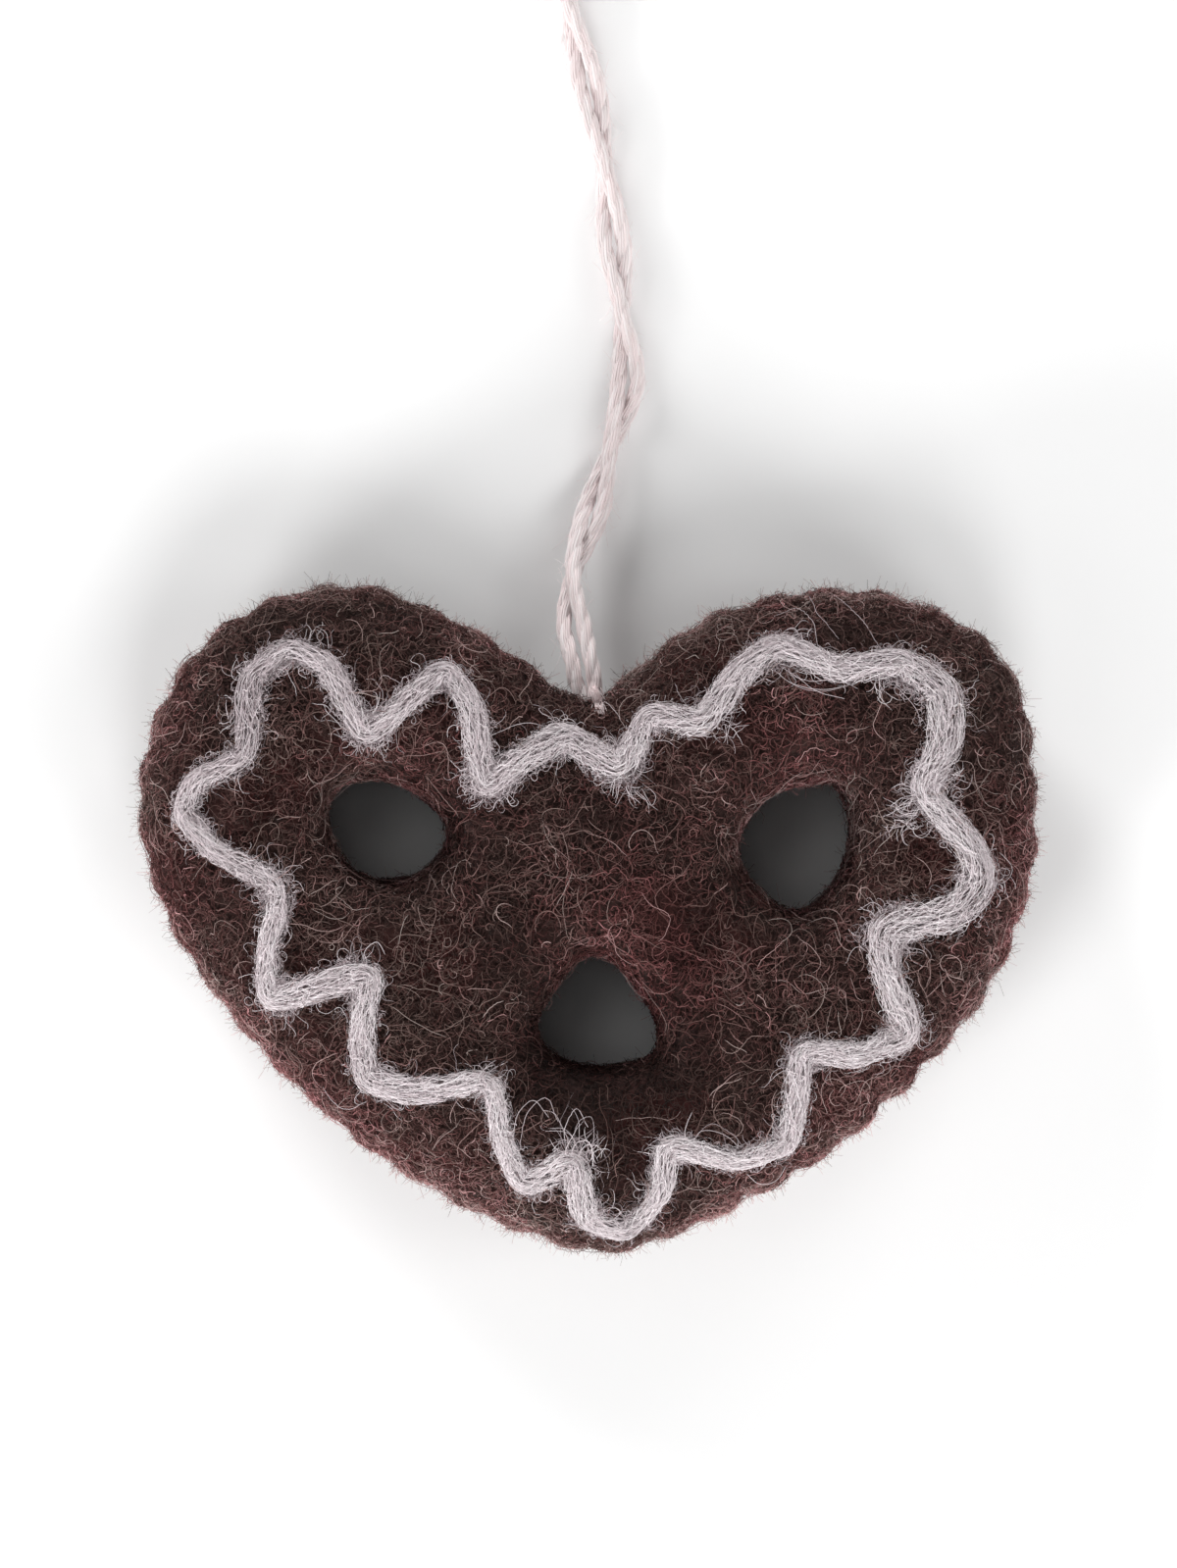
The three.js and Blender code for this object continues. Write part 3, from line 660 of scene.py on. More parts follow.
class Surface:
    """The outer surface of the sheets, which all the fibres follow."""

    def __init__(self, sheets):
        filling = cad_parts["wool_filling"].data
        faces = [p.vertices[:] for p in filling.polygons]
        inside = BVHTree.FromPolygons([v.co for v in filling.vertices], faces)
        corners, faces, centres, normals, areas = [], [], [], [], []
        for sheet, outwards in zip(sheets, (1, -1)):
            mesh = sheet.data
            first = sum(len(c) for c in corners)
            corners.append(np.array([v.co for v in mesh.vertices]))
            for face in mesh.polygons:
                centre, normal = face.center, face.normal
                if normal.z * outwards < INWARD or inside.find_nearest(centre)[3] < BY_FILLING:
                    continue
                faces.append([first + i for i in face.vertices])
                centres.append(centre[:])
                normals.append(normal[:])
                areas.append(face.area)
        self.corners = np.concatenate(corners)
        self.faces = np.array(faces)
        self.centres, self.normals, self.areas = np.array(centres), np.array(normals), np.array(areas)
        self.tree = BVHTree.FromPolygons(self.corners.tolist(), self.faces.tolist())
        from_hole = np.min([apart(self.centres, hole) for hole in HOLES], axis=0)
        self.in_hole = from_hole < HOLE_REACH
        self.seen = np.where(self.normals[:, 2] > -0.1, 1.0, BACK_SHARE)
        self.stitches = edged(RIM[chosen_for_stitches(RIM, outward_ways(RIM))])

    def by_seam(self, band):
        """1 for the faces at the seam's level, falling to 0 over the band above and below it."""
        return fading(self.centres[:, 2] - SEAM_LEVEL, band)

    def swell(self, points):
        """0 at the rim's stitches and 1 midway between them."""
        away = np.concatenate([
            np.min(np.linalg.norm(part[:, None, :2] - self.stitches, axis=2), axis=1)
            for part in np.array_split(points, 20)
        ])
        return np.clip(away / SWELL_REACH, 0, 1)

    def rim_height(self, points):
        """How far the curls round the rim reach out from these points on the felt."""
        near = fading(points[:, 2] - SEAM_LEVEL, 4 * MM)
        return (0.25 + 0.35 * self.swell(points) * near)[:, None] * MM

    def sample(self, rng, density, wanted=None):
        """Random points, density to a square metre, times wanted for each face."""
        weight = self.areas if wanted is None else self.areas * wanted
        count = round(density * weight.sum())
        face = rng.choice(len(weight), count, p=weight / weight.sum())
        u, v = rng.uniform(0, 1, (2, count, 1))
        a, b, c, d = (self.corners[self.faces[face, i]] for i in range(4))
        return (1 - u) * (1 - v) * a + u * (1 - v) * b + u * v * c + (1 - u) * v * d

    def nearest(self, points):
        found = [self.tree.find_nearest(p) for p in points.tolist()]
        return np.array([f[0] for f in found]), np.array([f[1] for f in found])

    def dropped(self, points):
        down, height = Vector((0, 0, -1)), 40 * MM
        return [self.tree.ray_cast(Vector((x, y, height)), down) for x, y in points.tolist()]

    def under(self, points):
        """Where straight lines down through the points meet the front, and its normals there."""
        found = self.dropped(points)
        return np.array([f[0] for f in found]), np.array([f[1] for f in found])

    def level_under(self, points, otherwise):
        """The front's level straight down from points, or another one off its edge."""
        return np.array([otherwise if f[0] is None else f[0][2] for f in self.dropped(points)])

    def walk(self, starts, headings, steps, step, bend, rng):
        """Lines of that many points that follow the surface. Each turns at its own changing rate, about
        bend radians to the metre. Returns the points and the surface's normals there."""
        here, normal = self.nearest(starts)
        heading = unit(headings - normal * dot(headings, normal))
        turning = rng.normal(0, 1, (len(starts), 1)) * bend
        points, normals = [], []
        for _ in range(steps):
            points.append(here)
            normals.append(normal)
            turning = TURN_KEPT * turning + rng.normal(0, TURN_NEW, (len(starts), 1)) * bend
            turn = turning * step
            heading = heading * np.cos(turn) + np.cross(normal, heading) * np.sin(turn)
            here, normal = self.nearest(here + heading * step)
            heading = unit(heading - normal * dot(heading, normal))
        return np.stack(points, 1), np.stack(normals, 1)


def above_floor(lines, radius):
    lines[:, :, 2] = np.maximum(lines[:, :, 2], radius)
    return lines


# Patches of another colour on the felt's fibres, as their places and radii in the photograph's pixels,
# how much redder they are and how much paler. The redness is the wool's own colour; the paleness is
# partly the wool's own and partly painted: paler round the rim, most along its foot, as painted light,
# and darker below the bottom hole and near the lobes' tops, as painted shade
PATCHES = [
    ((810, 760), 70, 0.7, 0.05), ((640, 960), 90, 0.6, 0.03), ((700, 1010), 60, 0.5, 0),
    ((180, 900), 60, 0.6, 0.1), ((150, 730), 55, 0.5, 0.12), ((300, 1100), 70, 0.3, 0.14),
    ((1040, 880), 60, 0.4, 0.18), ((1000, 960), 60, 0.3, 0.14), ((1040, 770), 60, 0.1, 0.12),
    ((960, 1110), 90, 0.35, 0.16), ((860, 1180), 80, 0.3, 0.16), ((760, 1230), 70, 0.2, 0.18),
    ((330, 1150), 80, 0.35, 0.16), ((440, 1220), 80, 0.3, 0.18), ((230, 1040), 60, 0.25, 0.14),
    ((440, 790), 60, 0.6, 0.08), ((630, 1110), 85, 0, -0.24), ((600, 1150), 60, 0, -0.12),
    ((850, 750), 90, 0, 0.12), ((330, 800), 80, 0.1, 0.04), ((620, 860), 110, 0.1, 0.04),
    ((470, 700), 50, 0.1, -0.1), ((900, 640), 80, 0.1, -0.04), ((700, 690), 40, 0, -0.12),
    ((840, 1000), 60, 0.1, 0.06), ((515, 1230), 60, 0.1, 0.26), ((705, 1232), 50, 0.1, 0.12),
    ((235, 1005), 50, 0, 0.1), ((480, 668), 40, 0, 0.1), ((215, 665), 40, 0, 0.08),
    ((710, 672), 40, 0, 0.12), ((400, 640), 40, 0, -0.08), ((600, 1262), 50, 0.1, 0.1),
]


def patched(points):
    """How red and how pale the fibres are painted at points, by the patches that they are in; the
    paleness is partly painted light and shade.
    """
    red, pale = np.zeros(len(points)), np.zeros(len(points))
    for pixel, radius, redder, paler in PATCHES:
        near = fading(apart(points, at_pixel(*pixel)), radius * PIXEL)
        red += redder * near
        pale += paler * near
    return np.clip(red, 0, 1), pale


def patchiness(points, size, seed):
    return np.array([noise.noise(Vector(p / size) + Vector((seed, 0, 0))) for p in points])


def brown_shades(points, rng):
    """Tones and tints of brown fibres that start at points."""
    red, pale = patched(points)
    count = len(points)
    # Fibres near the seam's level are painted paler and redder: painted light that offsets the shade on
    # the rim's steep sides
    rim = fading(points[:, 2] - SEAM_LEVEL, 3.5 * MM)
    tone = 0.42 + pale + 0.2 * patchiness(points, 7 * MM, 5) + 0.16 * patchiness(points, 1.6 * MM, 8)
    tone += 0.2 * rim + rng.normal(0, 1, count) * (0.16 + 0.12 * rim)
    tint = 0.22 + red + 0.2 * rim + 0.35 * patchiness(points, 3 * MM, 6) + rng.normal(0, 0.22, count)
    return tone, tint


# Fibres to the square metre in the mat, in the rim's curls and loose over both, and how many of each
# kind go in one piece
MAT_DENSITY, RIM_DENSITY, LOOSE_DENSITY = 7.6e6, 13.2e6, 0.38e6
MAT_SHARE, RIM_SHARE, LOOSE_SHARE, FUZZ_SHARE = 5000, 3900, 2400, 9500


def add_brown_strands(name, lines, radius, tone, tint, share):
    """Pieces of at most so many brown fibres, of a size that exports."""
    for number, first in enumerate(range(0, len(lines), share)):
        parts = (column[first : first + share] for column in (lines, radius, tone, tint))
        add_strands(f"{name}_{number}", *parts, BROWN_FIBRE, "front_felt")


def make_mat(surface):
    """The curly fibres that lie over one another on the felt."""
    rng = np.random.default_rng(21)
    steps = 7
    rim = surface.by_seam(2.5 * MM) * np.where(surface.in_hole, 0, 1)
    starts = surface.sample(rng, MAT_DENSITY, surface.seen * (1 - 0.6 * rim))
    rng.shuffle(starts)
    count = len(starts)
    step = rng.uniform(0.16, 0.36, (count, 1)) * MM
    points, normals = surface.walk(starts, rng.normal(0, 1, (count, 3)), steps, step, 2000, rng)
    run = np.linspace(0, 1, steps)
    phase, waves = rng.uniform(0, 2 * math.pi, (count, 1)), rng.uniform(0.4, 1.3, (count, 1))
    layer = rng.uniform(0, 1, count)
    lift = 0.03 + 0.42 * layer[:, None] + 0.12 * (1 + np.sin(phase + 2 * math.pi * waves * run))
    lines = above_floor(points + normals * lift[:, :, None] * MM, 0.05 * MM)
    tone, tint = brown_shades(starts, rng)
    radius = rng.uniform(0.028, 0.046, (count, 1)) * MM
    # Fibres lifted higher are painted lighter and the low ones darker: painted light and shade in the
    # mat
    add_brown_strands("felt_mat", lines, radius, tone + 0.2 * (layer - 0.5), tint, MAT_SHARE)


def make_rim_curls(surface):
    """Curls that stand out level round the rim, most of them in the swells between the stitches."""
    rng = np.random.default_rng(25)
    wanted = surface.by_seam(3.4 * MM) * surface.seen**0.6 * np.where(surface.in_hole, 0.06, 1.0)
    wanted *= 0.5 + 0.9 * surface.swell(surface.centres)
    starts = surface.sample(rng, RIM_DENSITY, wanted)
    rng.shuffle(starts)
    foot, normal = surface.nearest(starts)
    count, steps, bend = len(starts), 8, 3000
    step = rng.uniform(0.09, 0.2, (count, 1)) * MM
    heading = unit(normal * 0.5 + rng.normal(0, 1, (count, 3)) * [1, 1, 0.7])
    axis = unit(rng.normal(0, 1, (count, 3)) * [0.5, 0.5, 1])
    turning = rng.normal(0, bend, (count, 1))
    highest = surface.rim_height(foot)
    here = foot + normal * rng.uniform(0, 0.75, (count, 1)) * highest
    way = []
    for _ in range(steps):
        way.append(here)
        turning = TURN_KEPT * turning + rng.normal(0, TURN_NEW * bend, (count, 1))
        turn = turning * step
        heading = unit(heading * np.cos(turn) + np.cross(axis, heading) * np.sin(turn))
        here = here + heading * step
        depth = dot(here - foot, normal)
        back = np.where(depth < 0, 0.9, np.where(depth > highest, -0.9, 0))
        heading = unit(heading + normal * back)
    lines = above_floor(np.stack(way, axis=1), 0.05 * MM)
    tone, tint = brown_shades(starts, rng)
    outermost = np.max(dot(lines - foot[:, None], normal[:, None]), axis=1)[:, 0] / MM
    radius = rng.uniform(0.026, 0.042, (count, 1)) * MM
    # Curls that reach further out are painted lighter and those close in darker: painted light and shade
    tone += 0.3 * outermost - 0.12 + rng.normal(0, 0.34, count)
    add_brown_strands("felt_rim_curls", lines, radius, tone, tint - 0.1, RIM_SHARE)


def make_loose_fibres(surface):
    """Longer and lighter fibres that arch over the mat."""
    rng = np.random.default_rng(31)
    starts = surface.sample(rng, LOOSE_DENSITY, surface.seen)
    count, steps = len(starts), 14
    step = rng.uniform(0.16, 0.5, (count, 1)) * MM
    points, normals = surface.walk(starts, rng.normal(0, 1, (count, 3)), steps, step, 750, rng)
    run = np.linspace(0, 1, steps)
    lift = 0.35 + rng.uniform(0.1, 0.6, (count, 1)) * np.sin(math.pi * run) ** 0.7
    lines = above_floor(points + normals * lift[:, :, None] * MM, 0.05 * MM)
    tone, tint = brown_shades(starts, rng)
    radius = rng.uniform(0.02, 0.034, (count, 1)) * MM
    add_brown_strands("felt_loose_fibres", lines, radius, tone + 0.28, 0.5 * tint, LOOSE_SHARE)


# Kinds of short fibres that stand off the felt: how many to the square millimetre all over and at the
# seam, how far from the seam's level that reaches, how far they lean over, and their length
FUZZ_KINDS = [(0.3, 24, 2.6, 1.4, 0.42), (3.0, 2, 5.0, 1.6, 0.45), (0.02, 0.04, 2.0, 0.9, 0.75)]


def make_fuzz(surface):
    """Short fibres that stand off the felt, thickest along the seam round its rim and holes."""
    rng = np.random.default_rng(41)
    wall = surface.in_hole & (np.abs(surface.normals[:, 2]) < 0.7)
    for number, (all_over, at_seam, band, leaning, mean) in enumerate(FUZZ_KINDS):
        at_seam = at_seam * surface.by_seam(band * MM) * np.where(surface.in_hole, 0.1, 1.0)
        clumps = np.clip(0.9 + 1.8 * patchiness(surface.centres, 1.1 * MM, number), 0.15, 2)
        wanted = (all_over * np.where(wall, 0.3, 1.0) + at_seam) * clumps * surface.seen
        starts = surface.sample(rng, 1e6, wanted)
        rng.shuffle(starts)
        count, steps = len(starts), 4
        foot, normal = surface.nearest(starts)
        foot += normal * (surface.rim_height(foot) - 0.25 * MM) * rng.uniform(0.3, 1.2, (count, 1))
        lean = unit(normal + 0.35 * UP + rng.normal(0, leaning, (count, 3)))
        lean = np.where(dot(lean, normal) < 0.15, unit(lean + normal * 0.9), lean)[:, None]
        curl = rng.normal(0, 1.0, (count, 1, 3))
        wave = rng.normal(0, 0.3, (count, 1, 3))
        long = mean * np.minimum(0.4 + rng.gamma(3, 0.2, (count, 1, 1)), 1.35)
        run = np.linspace(0, 1, steps)[None, :, None]
        way = lean * run + curl * run**2 + wave * np.sin(2 * math.pi * run)
        lines = above_floor(foot[:, None] + way * long * MM, 0.04 * MM)
        tone, tint = brown_shades(starts, rng)
        radius = rng.uniform(0.016, 0.025, (count, 1)) * np.linspace(1, 0.6, steps) * MM
        add_brown_strands(f"felt_fuzz_{number}", lines, radius, tone + 0.1, tint, FUZZ_SHARE)


# Whip stitches over the edge, one in each dip of the scallops, and round the holes
def stitch_lines(surface, points, inwards, slants, reach, rng):
    """Threads from the front, over the seam's edge and on to the back."""
    steps = 8
    halves = []
    for level, lean in ((0.5 * MM, 1), (-0.5 * MM, -1)):
        starts = np.column_stack([points, np.full(len(points), SEAM_LEVEL + level)])
        headings = np.column_stack([inwards + slants * lean, np.zeros(len(points))])
        places, normals = surface.walk(starts, headings, steps, reach / steps, 0, rng)
        sunk = np.array([0.16, 0.16, 0.14, 0.12, 0.1, 0.05, -0.1, -0.35]) * MM
        halves.append(places + normals * sunk[:, None])
    return np.concatenate([halves[0][:, ::-1], halves[1]], axis=1)


def make_stitches(surface):
    rng = np.random.default_rng(51)
    lines = []
    for number, loop in enumerate([RIM, *HOLE_EDGES]):
        inwards, reach = -outward_ways(loop), 3 * MM
        chosen = chosen_for_stitches(loop, -inwards)
        if number:
            chosen = np.arange(0, len(loop), 2)
            inwards, reach = -inwards, 2.2 * MM
        slants = np.column_stack([inwards[:, 1], -inwards[:, 0]]) * 0.25
        lines.append(stitch_lines(surface, loop[chosen], inwards[chosen], slants[chosen], reach, rng))
    lines = above_floor(np.concatenate(lines), 0.25 * MM)
    count = len(lines)
    tone, tint = rng.uniform(0.2, 0.8, count), rng.uniform(0, 0.6, count)
    add_strands("edge_stitches", lines, 0.21 * MM, tone, tint, BROWN_THREAD, "thread", 6)


# The icing: a low band, painted dark as shade, under strands of pale wool that wander along it, frayed
# at its edges
ICING_SPACING = 0.3 * MM


def icing_frames(surface):
    """Points of the icing's middle on the felt, with the directions along, aside and out, and half its
    width. Its turns are sharper than the solid's."""
    points = np.array(ICING_POINTS)
    shares, wide = points[:, :2] * [HEART_WIDTH, HEART_HEIGHT], points[:, 2] * MM
    level = np.column_stack([shares, np.zeros(len(shares))])
    curve = smooth_line(level, ICING_SPACING, closed=True)[:, :2]

    def softened(values, reach):
        return np.mean([np.roll(values, k, axis=0) for k in range(-reach, reach + 1)], axis=0)

    corners = np.argmin(np.linalg.norm(shares[:, None] - curve, axis=2), axis=1)
    order = np.argsort(corners)
    around = np.append(corners[order], corners[order][0] + len(curve))
    at = (np.arange(len(curve)) - around[0]) % len(curve) + around[0]
    chords = np.column_stack([np.append(shares[order, i], shares[order[0], i]) for i in range(2)])
    straight = np.column_stack([np.interp(at, around, column) for column in chords.T])
    half = softened(np.interp(at, around, np.append(wide[order], wide[order[0]])), 4) / 2
    flat = softened(0.3 * curve + 0.7 * straight, 2)
    place, normal = surface.under(flat)
    place = np.column_stack([flat, softened(place, 3)[:, 2]])
    normal = unit(softened(normal, 4))
    along = unit(softened(np.roll(place, -1, axis=0) - np.roll(place, 1, axis=0), 2))
    return place, along, unit(np.cross(normal, along)), normal, half


# Kinds of strands in the icing: how many, their points, spacing, how much they stray, their height and
# tone. The last kind are dark flecks: painted shade in the gaps between the strands.
STRAND_KINDS = [
    (5600, 12, (0.2, 0.46), 0.22, 0, 0.5), (3300, 9, (0.12, 0.28), 0.6, 0.1, 0.5),
    (1200, 9, (0.1, 0.2), 1.4, 0.2, 0.5), (500, 4, (0.06, 0.13), 0.9, 0.2, -0.4),
]
ICING_SHARE = 1800  # strands to a piece
DARK_PIXEL, DARK_REACH = (245, 760), 9 * MM  # where the icing is darkest, at its far left


def make_icing(surface):
    rng = np.random.default_rng(61)
    place, along, aside, out, half = icing_frames(surface)
    make_icing_band(place, aside, out, half)
    for number, (strands, steps, spacing, stray, rise, shade) in enumerate(STRAND_KINDS):
        at = rng.uniform(0, len(place), (strands, 1))
        offset = rng.uniform(-1, 1, (strands, 1))
        heading = rng.normal(0, stray, (strands, 1))
        step = rng.uniform(*spacing, (strands, 1)) * MM
        way = []
        for _ in range(steps):
            way.append((at, offset))
            heading = TURN_KEPT * heading + rng.normal(0, TURN_NEW * stray, (strands, 1))
            heading = heading - 0.12 * offset**3
            at = at + step * np.cos(heading) / ICING_SPACING
            offset = offset + step * np.sin(heading) / half[at.astype(int) % len(half)]
        at, offset = (np.concatenate(columns, axis=1) for columns in zip(*way))
        before = np.floor(at).astype(int)
        part = (at - before)[:, :, None]

        def between(values):
            return values[before % len(values)] * (1 - part) + values[(before + 1) % len(values)] * part

        crown = np.sqrt(np.clip(1 - offset**2, 0, 1))
        layer = rng.uniform(0, 1, (strands, 1))
        phase, waves = rng.uniform(0, 2 * math.pi, (strands, 1)), rng.uniform(0.3, 1, (strands, 1))
        ripple = 0.09 * np.sin(phase + waves * np.arange(steps))
        height = 0.28 + (0.25 + 0.6 * layer + rise) * crown + ripple
        lines = between(place) + between(aside) * offset[:, :, None] * between(half[:, None])
        lines = lines + between(out) * height[:, :, None] * MM
        middle = place[at[:, 0].astype(int) % len(place)]
        # Higher strands are painted lighter and low ones darker, as painted shade deep in the icing;
        # strands further right are painted lighter, as painted light; strands low down are lighter
        # towards the foot
        tone = shade + 0.36 * layer[:, 0] + 0.12 * middle[:, 0] / HEART_WIDTH
        tone += rng.normal(0, 0.14, strands)
        low = np.clip(-middle[:, 1] / HEART_HEIGHT, 0, 0.3)
        dark = fading(apart(middle, at_pixel(*DARK_PIXEL)), DARK_REACH)
        tone += 0.22 * patchiness(middle, 2 * MM, 3) + 0.3 * low - 0.24 * dark
        tint = rng.uniform(0, 0.5, strands)
        radius = rng.uniform(0.022, 0.038, (strands, 1)) * MM
        for first in range(0, strands, ICING_SHARE):
            parts = (column[first : first + ICING_SHARE] for column in (lines, radius, tone, tint))
            add_strands(f"icing_strands_{number}_{first // ICING_SHARE}", *parts, ICING_FIBRE, "icing")
    make_icing_curls(surface, place, along, aside, half)
    make_tufts(surface)
    make_strays(surface)


def make_icing_band(place, aside, out, half):
    """The wool deep in the icing, under its strands, painted dark as the shade there."""
    count, corners = len(place), 12
    turn = 2 * math.pi * np.arange(corners)[:, None] / corners
    ring = aside[:, None] * np.cos(turn) * 0.85 * half[:, None, None]
    ring = ring + out[:, None] * (np.sin(turn) * 0.42 + 0.1) * MM
    vertices = (place[:, None] + ring).reshape(-1, 3)
    k, s = grid(count, corners)
    onward, after = (k + 1) % count, (s + 1) % corners
    faces = [k * corners + s, onward * corners + s, onward * corners + after, k * corners + after]
    band = add_mesh("icing_band", vertices, np.stack(faces, -1))
    band.data.materials.append(ICING_PAINTED_SHADE)
    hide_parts("icing_line")
    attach(band, "heart")


# Curls that leave the icing's edges: how many, their points, spacing, bend to the metre, and lift
CURLS = [(5100, 7, (0.05, 0.15), 5000, 0.45), (1000, 13, (0.1, 0.26), 2000, 0.5)]


def make_icing_curls(surface, place, along, aside, half):
    """Loose fibres at the icing's edges, most of them at its sharp turns and in uneven bunches."""
    rng = np.random.default_rng(71)
    reach = 7
    bending = np.linalg.norm(np.roll(along, -reach, axis=0) - np.roll(along, reach, axis=0), axis=1)
    bunches = np.clip(0.6 + 1.6 * patchiness(place, 2.5 * MM, 9), 0.1, None)
    weight = (0.35 + 0.6 * bending**2) * bunches
    for number, (count, steps, spacing, bend, rise) in enumerate(CURLS):
        at = rng.choice(len(place), count, p=weight / weight.sum())
        edge = rng.choice([-1, 1], (count, 1))
        starts = place[at] + aside[at] * edge * half[at][:, None] * rng.uniform(0.7, 1.15, (count, 1))
        headings = aside[at] * edge * rng.uniform(0, 1.2, (count, 1))
        headings = headings + along[at] * rng.normal(0, 0.9, (count, 1))
        step = rng.uniform(*spacing, (count, 1)) * MM
        points, normals = surface.walk(starts, headings, steps, step, bend, rng)
        run = np.linspace(0, 1, steps)
        lift = 0.3 + rise * rng.uniform(0, 1, (count, 1)) * np.sin(math.pi * run) + 0.25 * (1 - run)
        lines = points + normals * lift[:, :, None] * MM
        tone, tint = rng.uniform(0.1, 0.7, count), rng.uniform(0, 0.6, count)
        radius = rng.uniform(0.017, 0.028, (count, 1)) * MM
        add_strands(f"icing_curls_{number}", lines, radius, tone, tint, ICING_FIBRE, "icing")


# Tufts that leave the icing: where they start, in the photograph's pixels, which way they point in
# degrees, their length in millimetres, how wide they fan out in radians, and how many fibres they have
TUFTS = [
    ((933, 814), 205, 2.4, 0.4, 40), ((926, 836), 190, 2.2, 0.4, 30), ((905, 846), 262, 1.2, 0.4, 8),
    ((637, 797), 268, 1.6, 0.35, 20), ((645, 806), 320, 2.2, 0.7, 12), ((497, 806), 250, 1.9, 0.35, 20),
    ((380, 985), 75, 2.0, 0.8, 12), ((496, 1100), 92, 2.8, 0.45, 22), ((588, 1176), 95, 4.2, 0.3, 34),
    ((600, 1176), 70, 3.0, 0.4, 16), ((690, 1160), 168, 3.0, 0.35, 28), ((928, 1050), 10, 1.4, 0.9, 16),
    ((740, 742), 335, 1.9, 0.8, 16), ((815, 658), 60, 1.7, 0.9, 12), ((895, 702), 292, 1.8, 0.4, 10),
    ((960, 800), 350, 1.7, 0.8, 10), ((1010, 900), 10, 1.5, 0.9, 16), ((975, 930), 290, 1.4, 0.8, 8),
    ((256, 690), 150, 1.4, 0.9, 12), ((250, 735), 200, 1.6, 1.0, 16), ((282, 905), 330, 1.6, 0.8, 10),
    ((374, 752), 270, 1.4, 0.8, 8), ((455, 690), 70, 1.2, 0.9, 10), ((276, 1015), 200, 1.2, 0.7, 8),
]


def make_tufts(surface):
    rng = np.random.default_rng(81)
    owner = np.repeat(np.arange(len(TUFTS)), [t[4] for t in TUFTS])
    count, steps = len(owner), 11
    table = [(*at_pixel(*spot), math.radians(way), long * MM, fan) for spot, way, long, fan, _ in TUFTS]
    x, y, way, long, fan = np.array(table)[owner].T
    spots = np.column_stack([x, y]) + rng.normal(0, 0.5 * MM, (count, 2))
    starts = surface.under(spots)[0]
    way = way + rng.normal(0, 1, count) * fan
    headings = np.column_stack([np.cos(way), np.sin(way), np.zeros(count)])
    step = (long * rng.uniform(0.4, 1.2, count) / (steps - 1))[:, None]
    points, normals = surface.walk(starts, headings, steps, step, 800, rng)
    run = np.linspace(0, 1, steps)
    lift = 0.3 + rng.uniform(0.2, 0.9, (count, 1)) * (1 - run)
    lift = lift + rng.uniform(0, 0.5, (count, 1)) * np.sin(math.pi * run)
    lines = points + normals * lift[:, :, None] * MM
    tone, tint = rng.uniform(0.1, 0.8, count), rng.uniform(0, 0.5, count)
    radius = rng.uniform(0.02, 0.032, (count, 1)) * MM
    add_strands("icing_tufts", lines, radius, tone, tint, ICING_FIBRE, "icing")


# Single long fibres that stray over the felt, by the photograph's pixels
STRAYS = [
    [(848, 612), (860, 624), (880, 642), (896, 668)],
    [(826, 614), (830, 624), (838, 640), (852, 656)],
    [(790, 634), (812, 630), (828, 642), (832, 662)],
    [(786, 686), (806, 700), (836, 706), (868, 700)],
    [(792, 682), (808, 692), (830, 708), (858, 714)],
    [(700, 1162), (714, 1146), (736, 1150), (752, 1164)],
    [(704, 1158), (722, 1140), (742, 1148), (758, 1166)],
    [(526, 1166), (528, 1136), (544, 1120), (560, 1136)],
    [(532, 1160), (540, 1130), (556, 1118), (570, 1140)],
    [(578, 1172), (576, 1146), (588, 1128), (600, 1146)],
    [(584, 1170), (590, 1140), (604, 1136), (606, 1160)],
    [(612, 733), (622, 724), (630, 730), (634, 738)],
    [(800, 690), (822, 697), (850, 696), (872, 704)],
    [(500, 752), (520, 744), (540, 742), (560, 746)],
    [(540, 722), (552, 728), (562, 738), (568, 750)],
    [(798, 682), (806, 700), (832, 708), (862, 702)],
    [(906, 700), (918, 712), (930, 728), (934, 742)],
    [(655, 800), (668, 812), (664, 822), (654, 812)],
    [(960, 796), (975, 806), (984, 798), (986, 790)],
    [(690, 700), (694, 712), (700, 722), (706, 730)],
    [(1012, 868), (1022, 880), (1020, 894), (1010, 902)],
    [(372, 985), (376, 966), (388, 960), (396, 972)],
    [(335, 1104), (348, 1116), (362, 1122), (378, 1118)],
    [(760, 1190), (772, 1197), (785, 1195), (796, 1184)],
]


def make_strays(surface):
    rng = np.random.default_rng(91)
    steps = 24
    lines = []
    for pixels in STRAYS:
        line = smooth_line([(*at_pixel(*pixel), 0) for pixel in pixels], 0.01 * MM)
        line = line[np.linspace(0, len(line) - 1, steps).astype(int), :2]
        places, normals = surface.under(line)
        lift = 0.5 + 0.5 * np.sin(np.linspace(0, math.pi, steps)) * rng.uniform(0.3, 1)
        lines.append(places + normals * lift[:, None] * MM)
    count = len(lines)
    tone, tint = rng.uniform(0.2, 0.5, count), rng.uniform(0, 0.5, count)
    add_strands("icing_strays", np.array(lines), 0.03 * MM, tone, tint, ICING_FIBRE, "icing")


# Floor, lamps and world
def make_floor():
    bpy.ops.mesh.primitive_plane_add(size=6)
    floor = bpy.context.object
    floor.name = "floor"
    nodes = Nodes("floor", roughness=1, specular=0)
    nodes.shader.inputs["Base Color"].default_value = (0.97, 0.97, 0.97, 1)
    floor.data.materials.append(nodes.material)


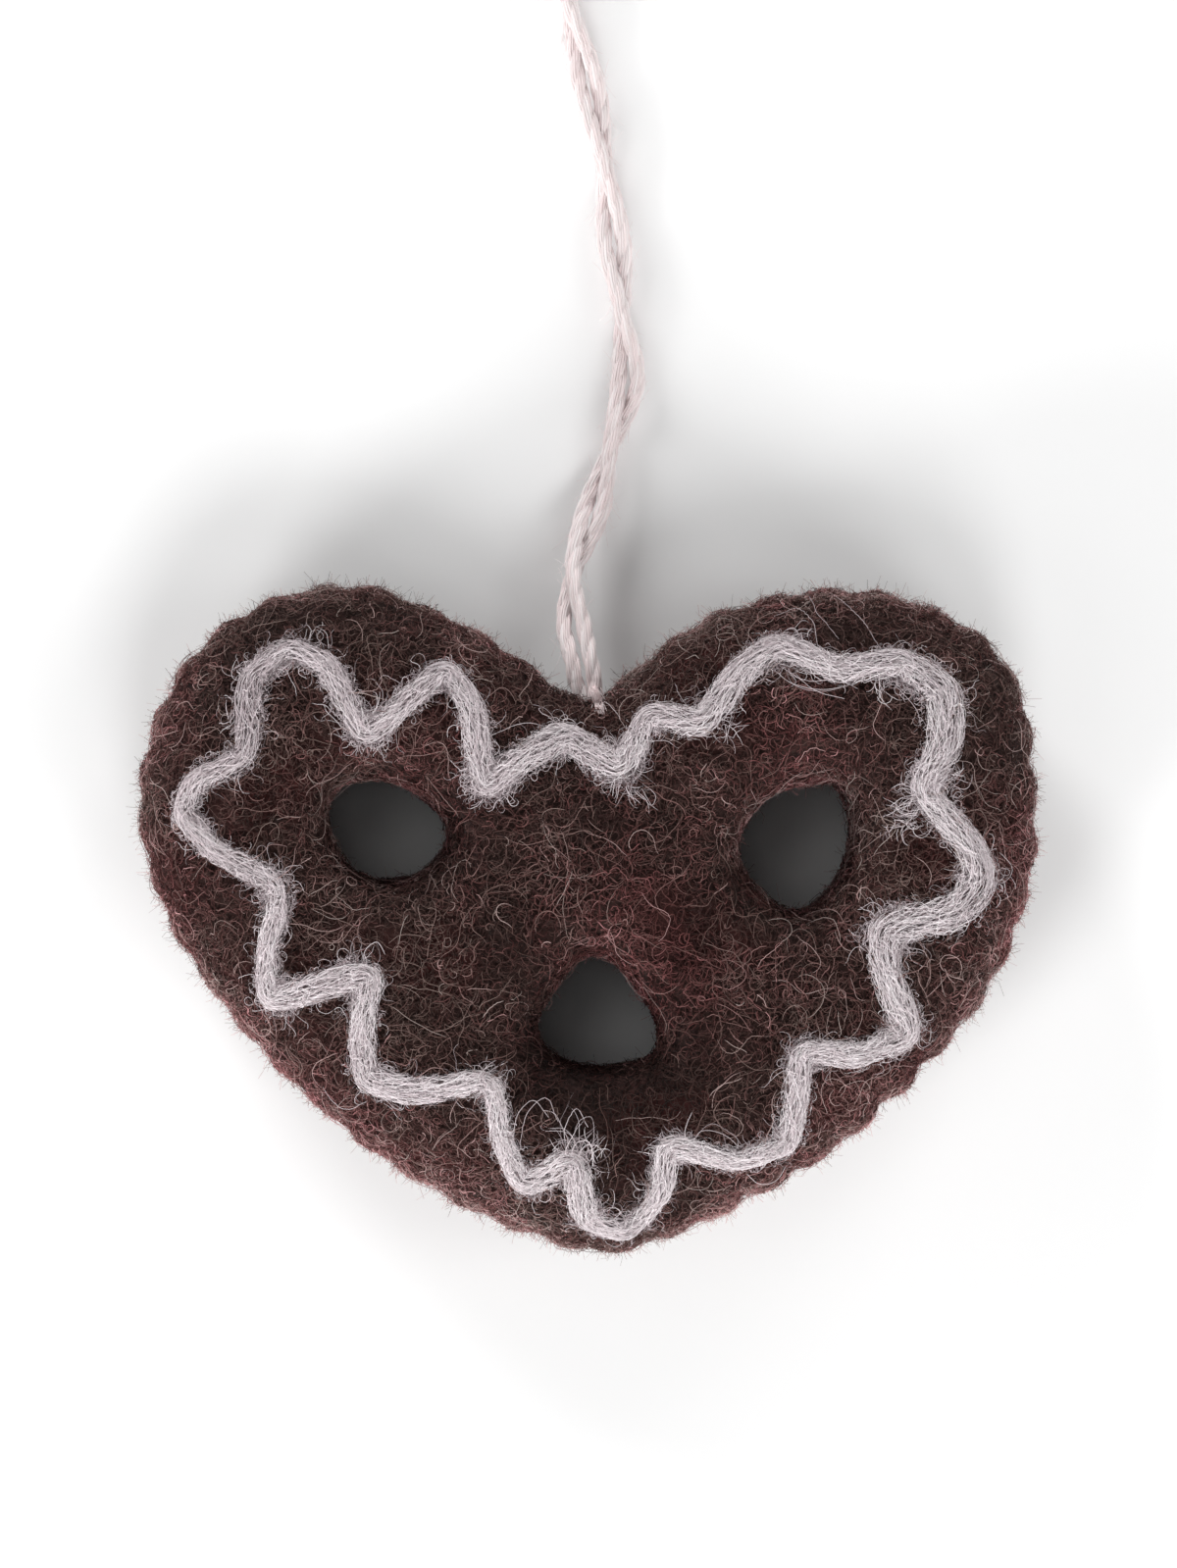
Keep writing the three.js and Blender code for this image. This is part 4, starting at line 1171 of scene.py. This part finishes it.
# Lamps round the heart as azimuth and elevation in degrees, 0 to the right and -90 to the photograph's
# foot, and strength
LAMPS = [
    (-135, 18, 1.25), (120, 18, 1.1), (-80, 42, 0.6), (-45, 18, 0.43), (60, 18, 0.37),
    (-45, 42, 0.26), (0, 18, 0.23), (-135, 42, 0.13), (0, 42, 0.11), (180, 18, 0.06),
    (180, 64, 0.05), (120, 64, 0.05), (-90, 88, 0.03),
]
LAMP_WATTS, LAMP_SIZE, LAMP_DISTANCE = 9, 0.5, 1.2
SHADE_LIGHT = 0.038  # the world's strength for all but the camera's rays


def make_lamps():
    for number, (azimuth, elevation, strength) in enumerate(LAMPS):
        data = bpy.data.lights.new(f"lamp_{number}", "AREA")
        data.shape, data.size, data.energy = "DISK", LAMP_SIZE, LAMP_WATTS * strength
        lamp = bpy.data.objects.new(data.name, data)
        bpy.context.scene.collection.objects.link(lamp)
        a, e = math.radians(azimuth), math.radians(elevation)
        way = Vector((math.cos(a) * math.cos(e), math.sin(a) * math.cos(e), math.sin(e)))
        lamp.location = way * LAMP_DISTANCE
        lamp.rotation_mode = "QUATERNION"
        lamp.rotation_quaternion = way.to_track_quat("Z", "Y")
        lamp.visible_camera = False


def make_world():
    """White behind the floor's far edge, and close to dark for every other ray."""
    world = bpy.data.worlds.new("world")
    bpy.context.scene.world = world
    world.use_nodes = True
    tree = world.node_tree
    dim = tree.nodes["Background"]
    dim.inputs["Color"].default_value = (1, 1, 1, 1)
    dim.inputs["Strength"].default_value = SHADE_LIGHT
    white = tree.nodes.new("ShaderNodeBackground")
    white.inputs["Color"].default_value = (1, 1, 1, 1)
    path = tree.nodes.new("ShaderNodeLightPath")
    mix = tree.nodes.new("ShaderNodeMixShader")
    tree.links.new(path.outputs["Is Camera Ray"], mix.inputs[0])
    tree.links.new(dim.outputs[0], mix.inputs[1])
    tree.links.new(white.outputs[0], mix.inputs[2])
    tree.links.new(mix.outputs[0], tree.nodes["World Output"].inputs["Surface"])
    bpy.context.scene.view_settings.view_transform = "Standard"


make_camera()
make_string()
heart_surface = Surface(make_sheets())
make_tail(heart_surface)
make_hidden_pieces()
make_mat(heart_surface)
make_rim_curls(heart_surface)
make_loose_fibres(heart_surface)
make_fuzz(heart_surface)
make_stitches(heart_surface)
make_icing(heart_surface)
make_floor()
make_lamps()
make_world()
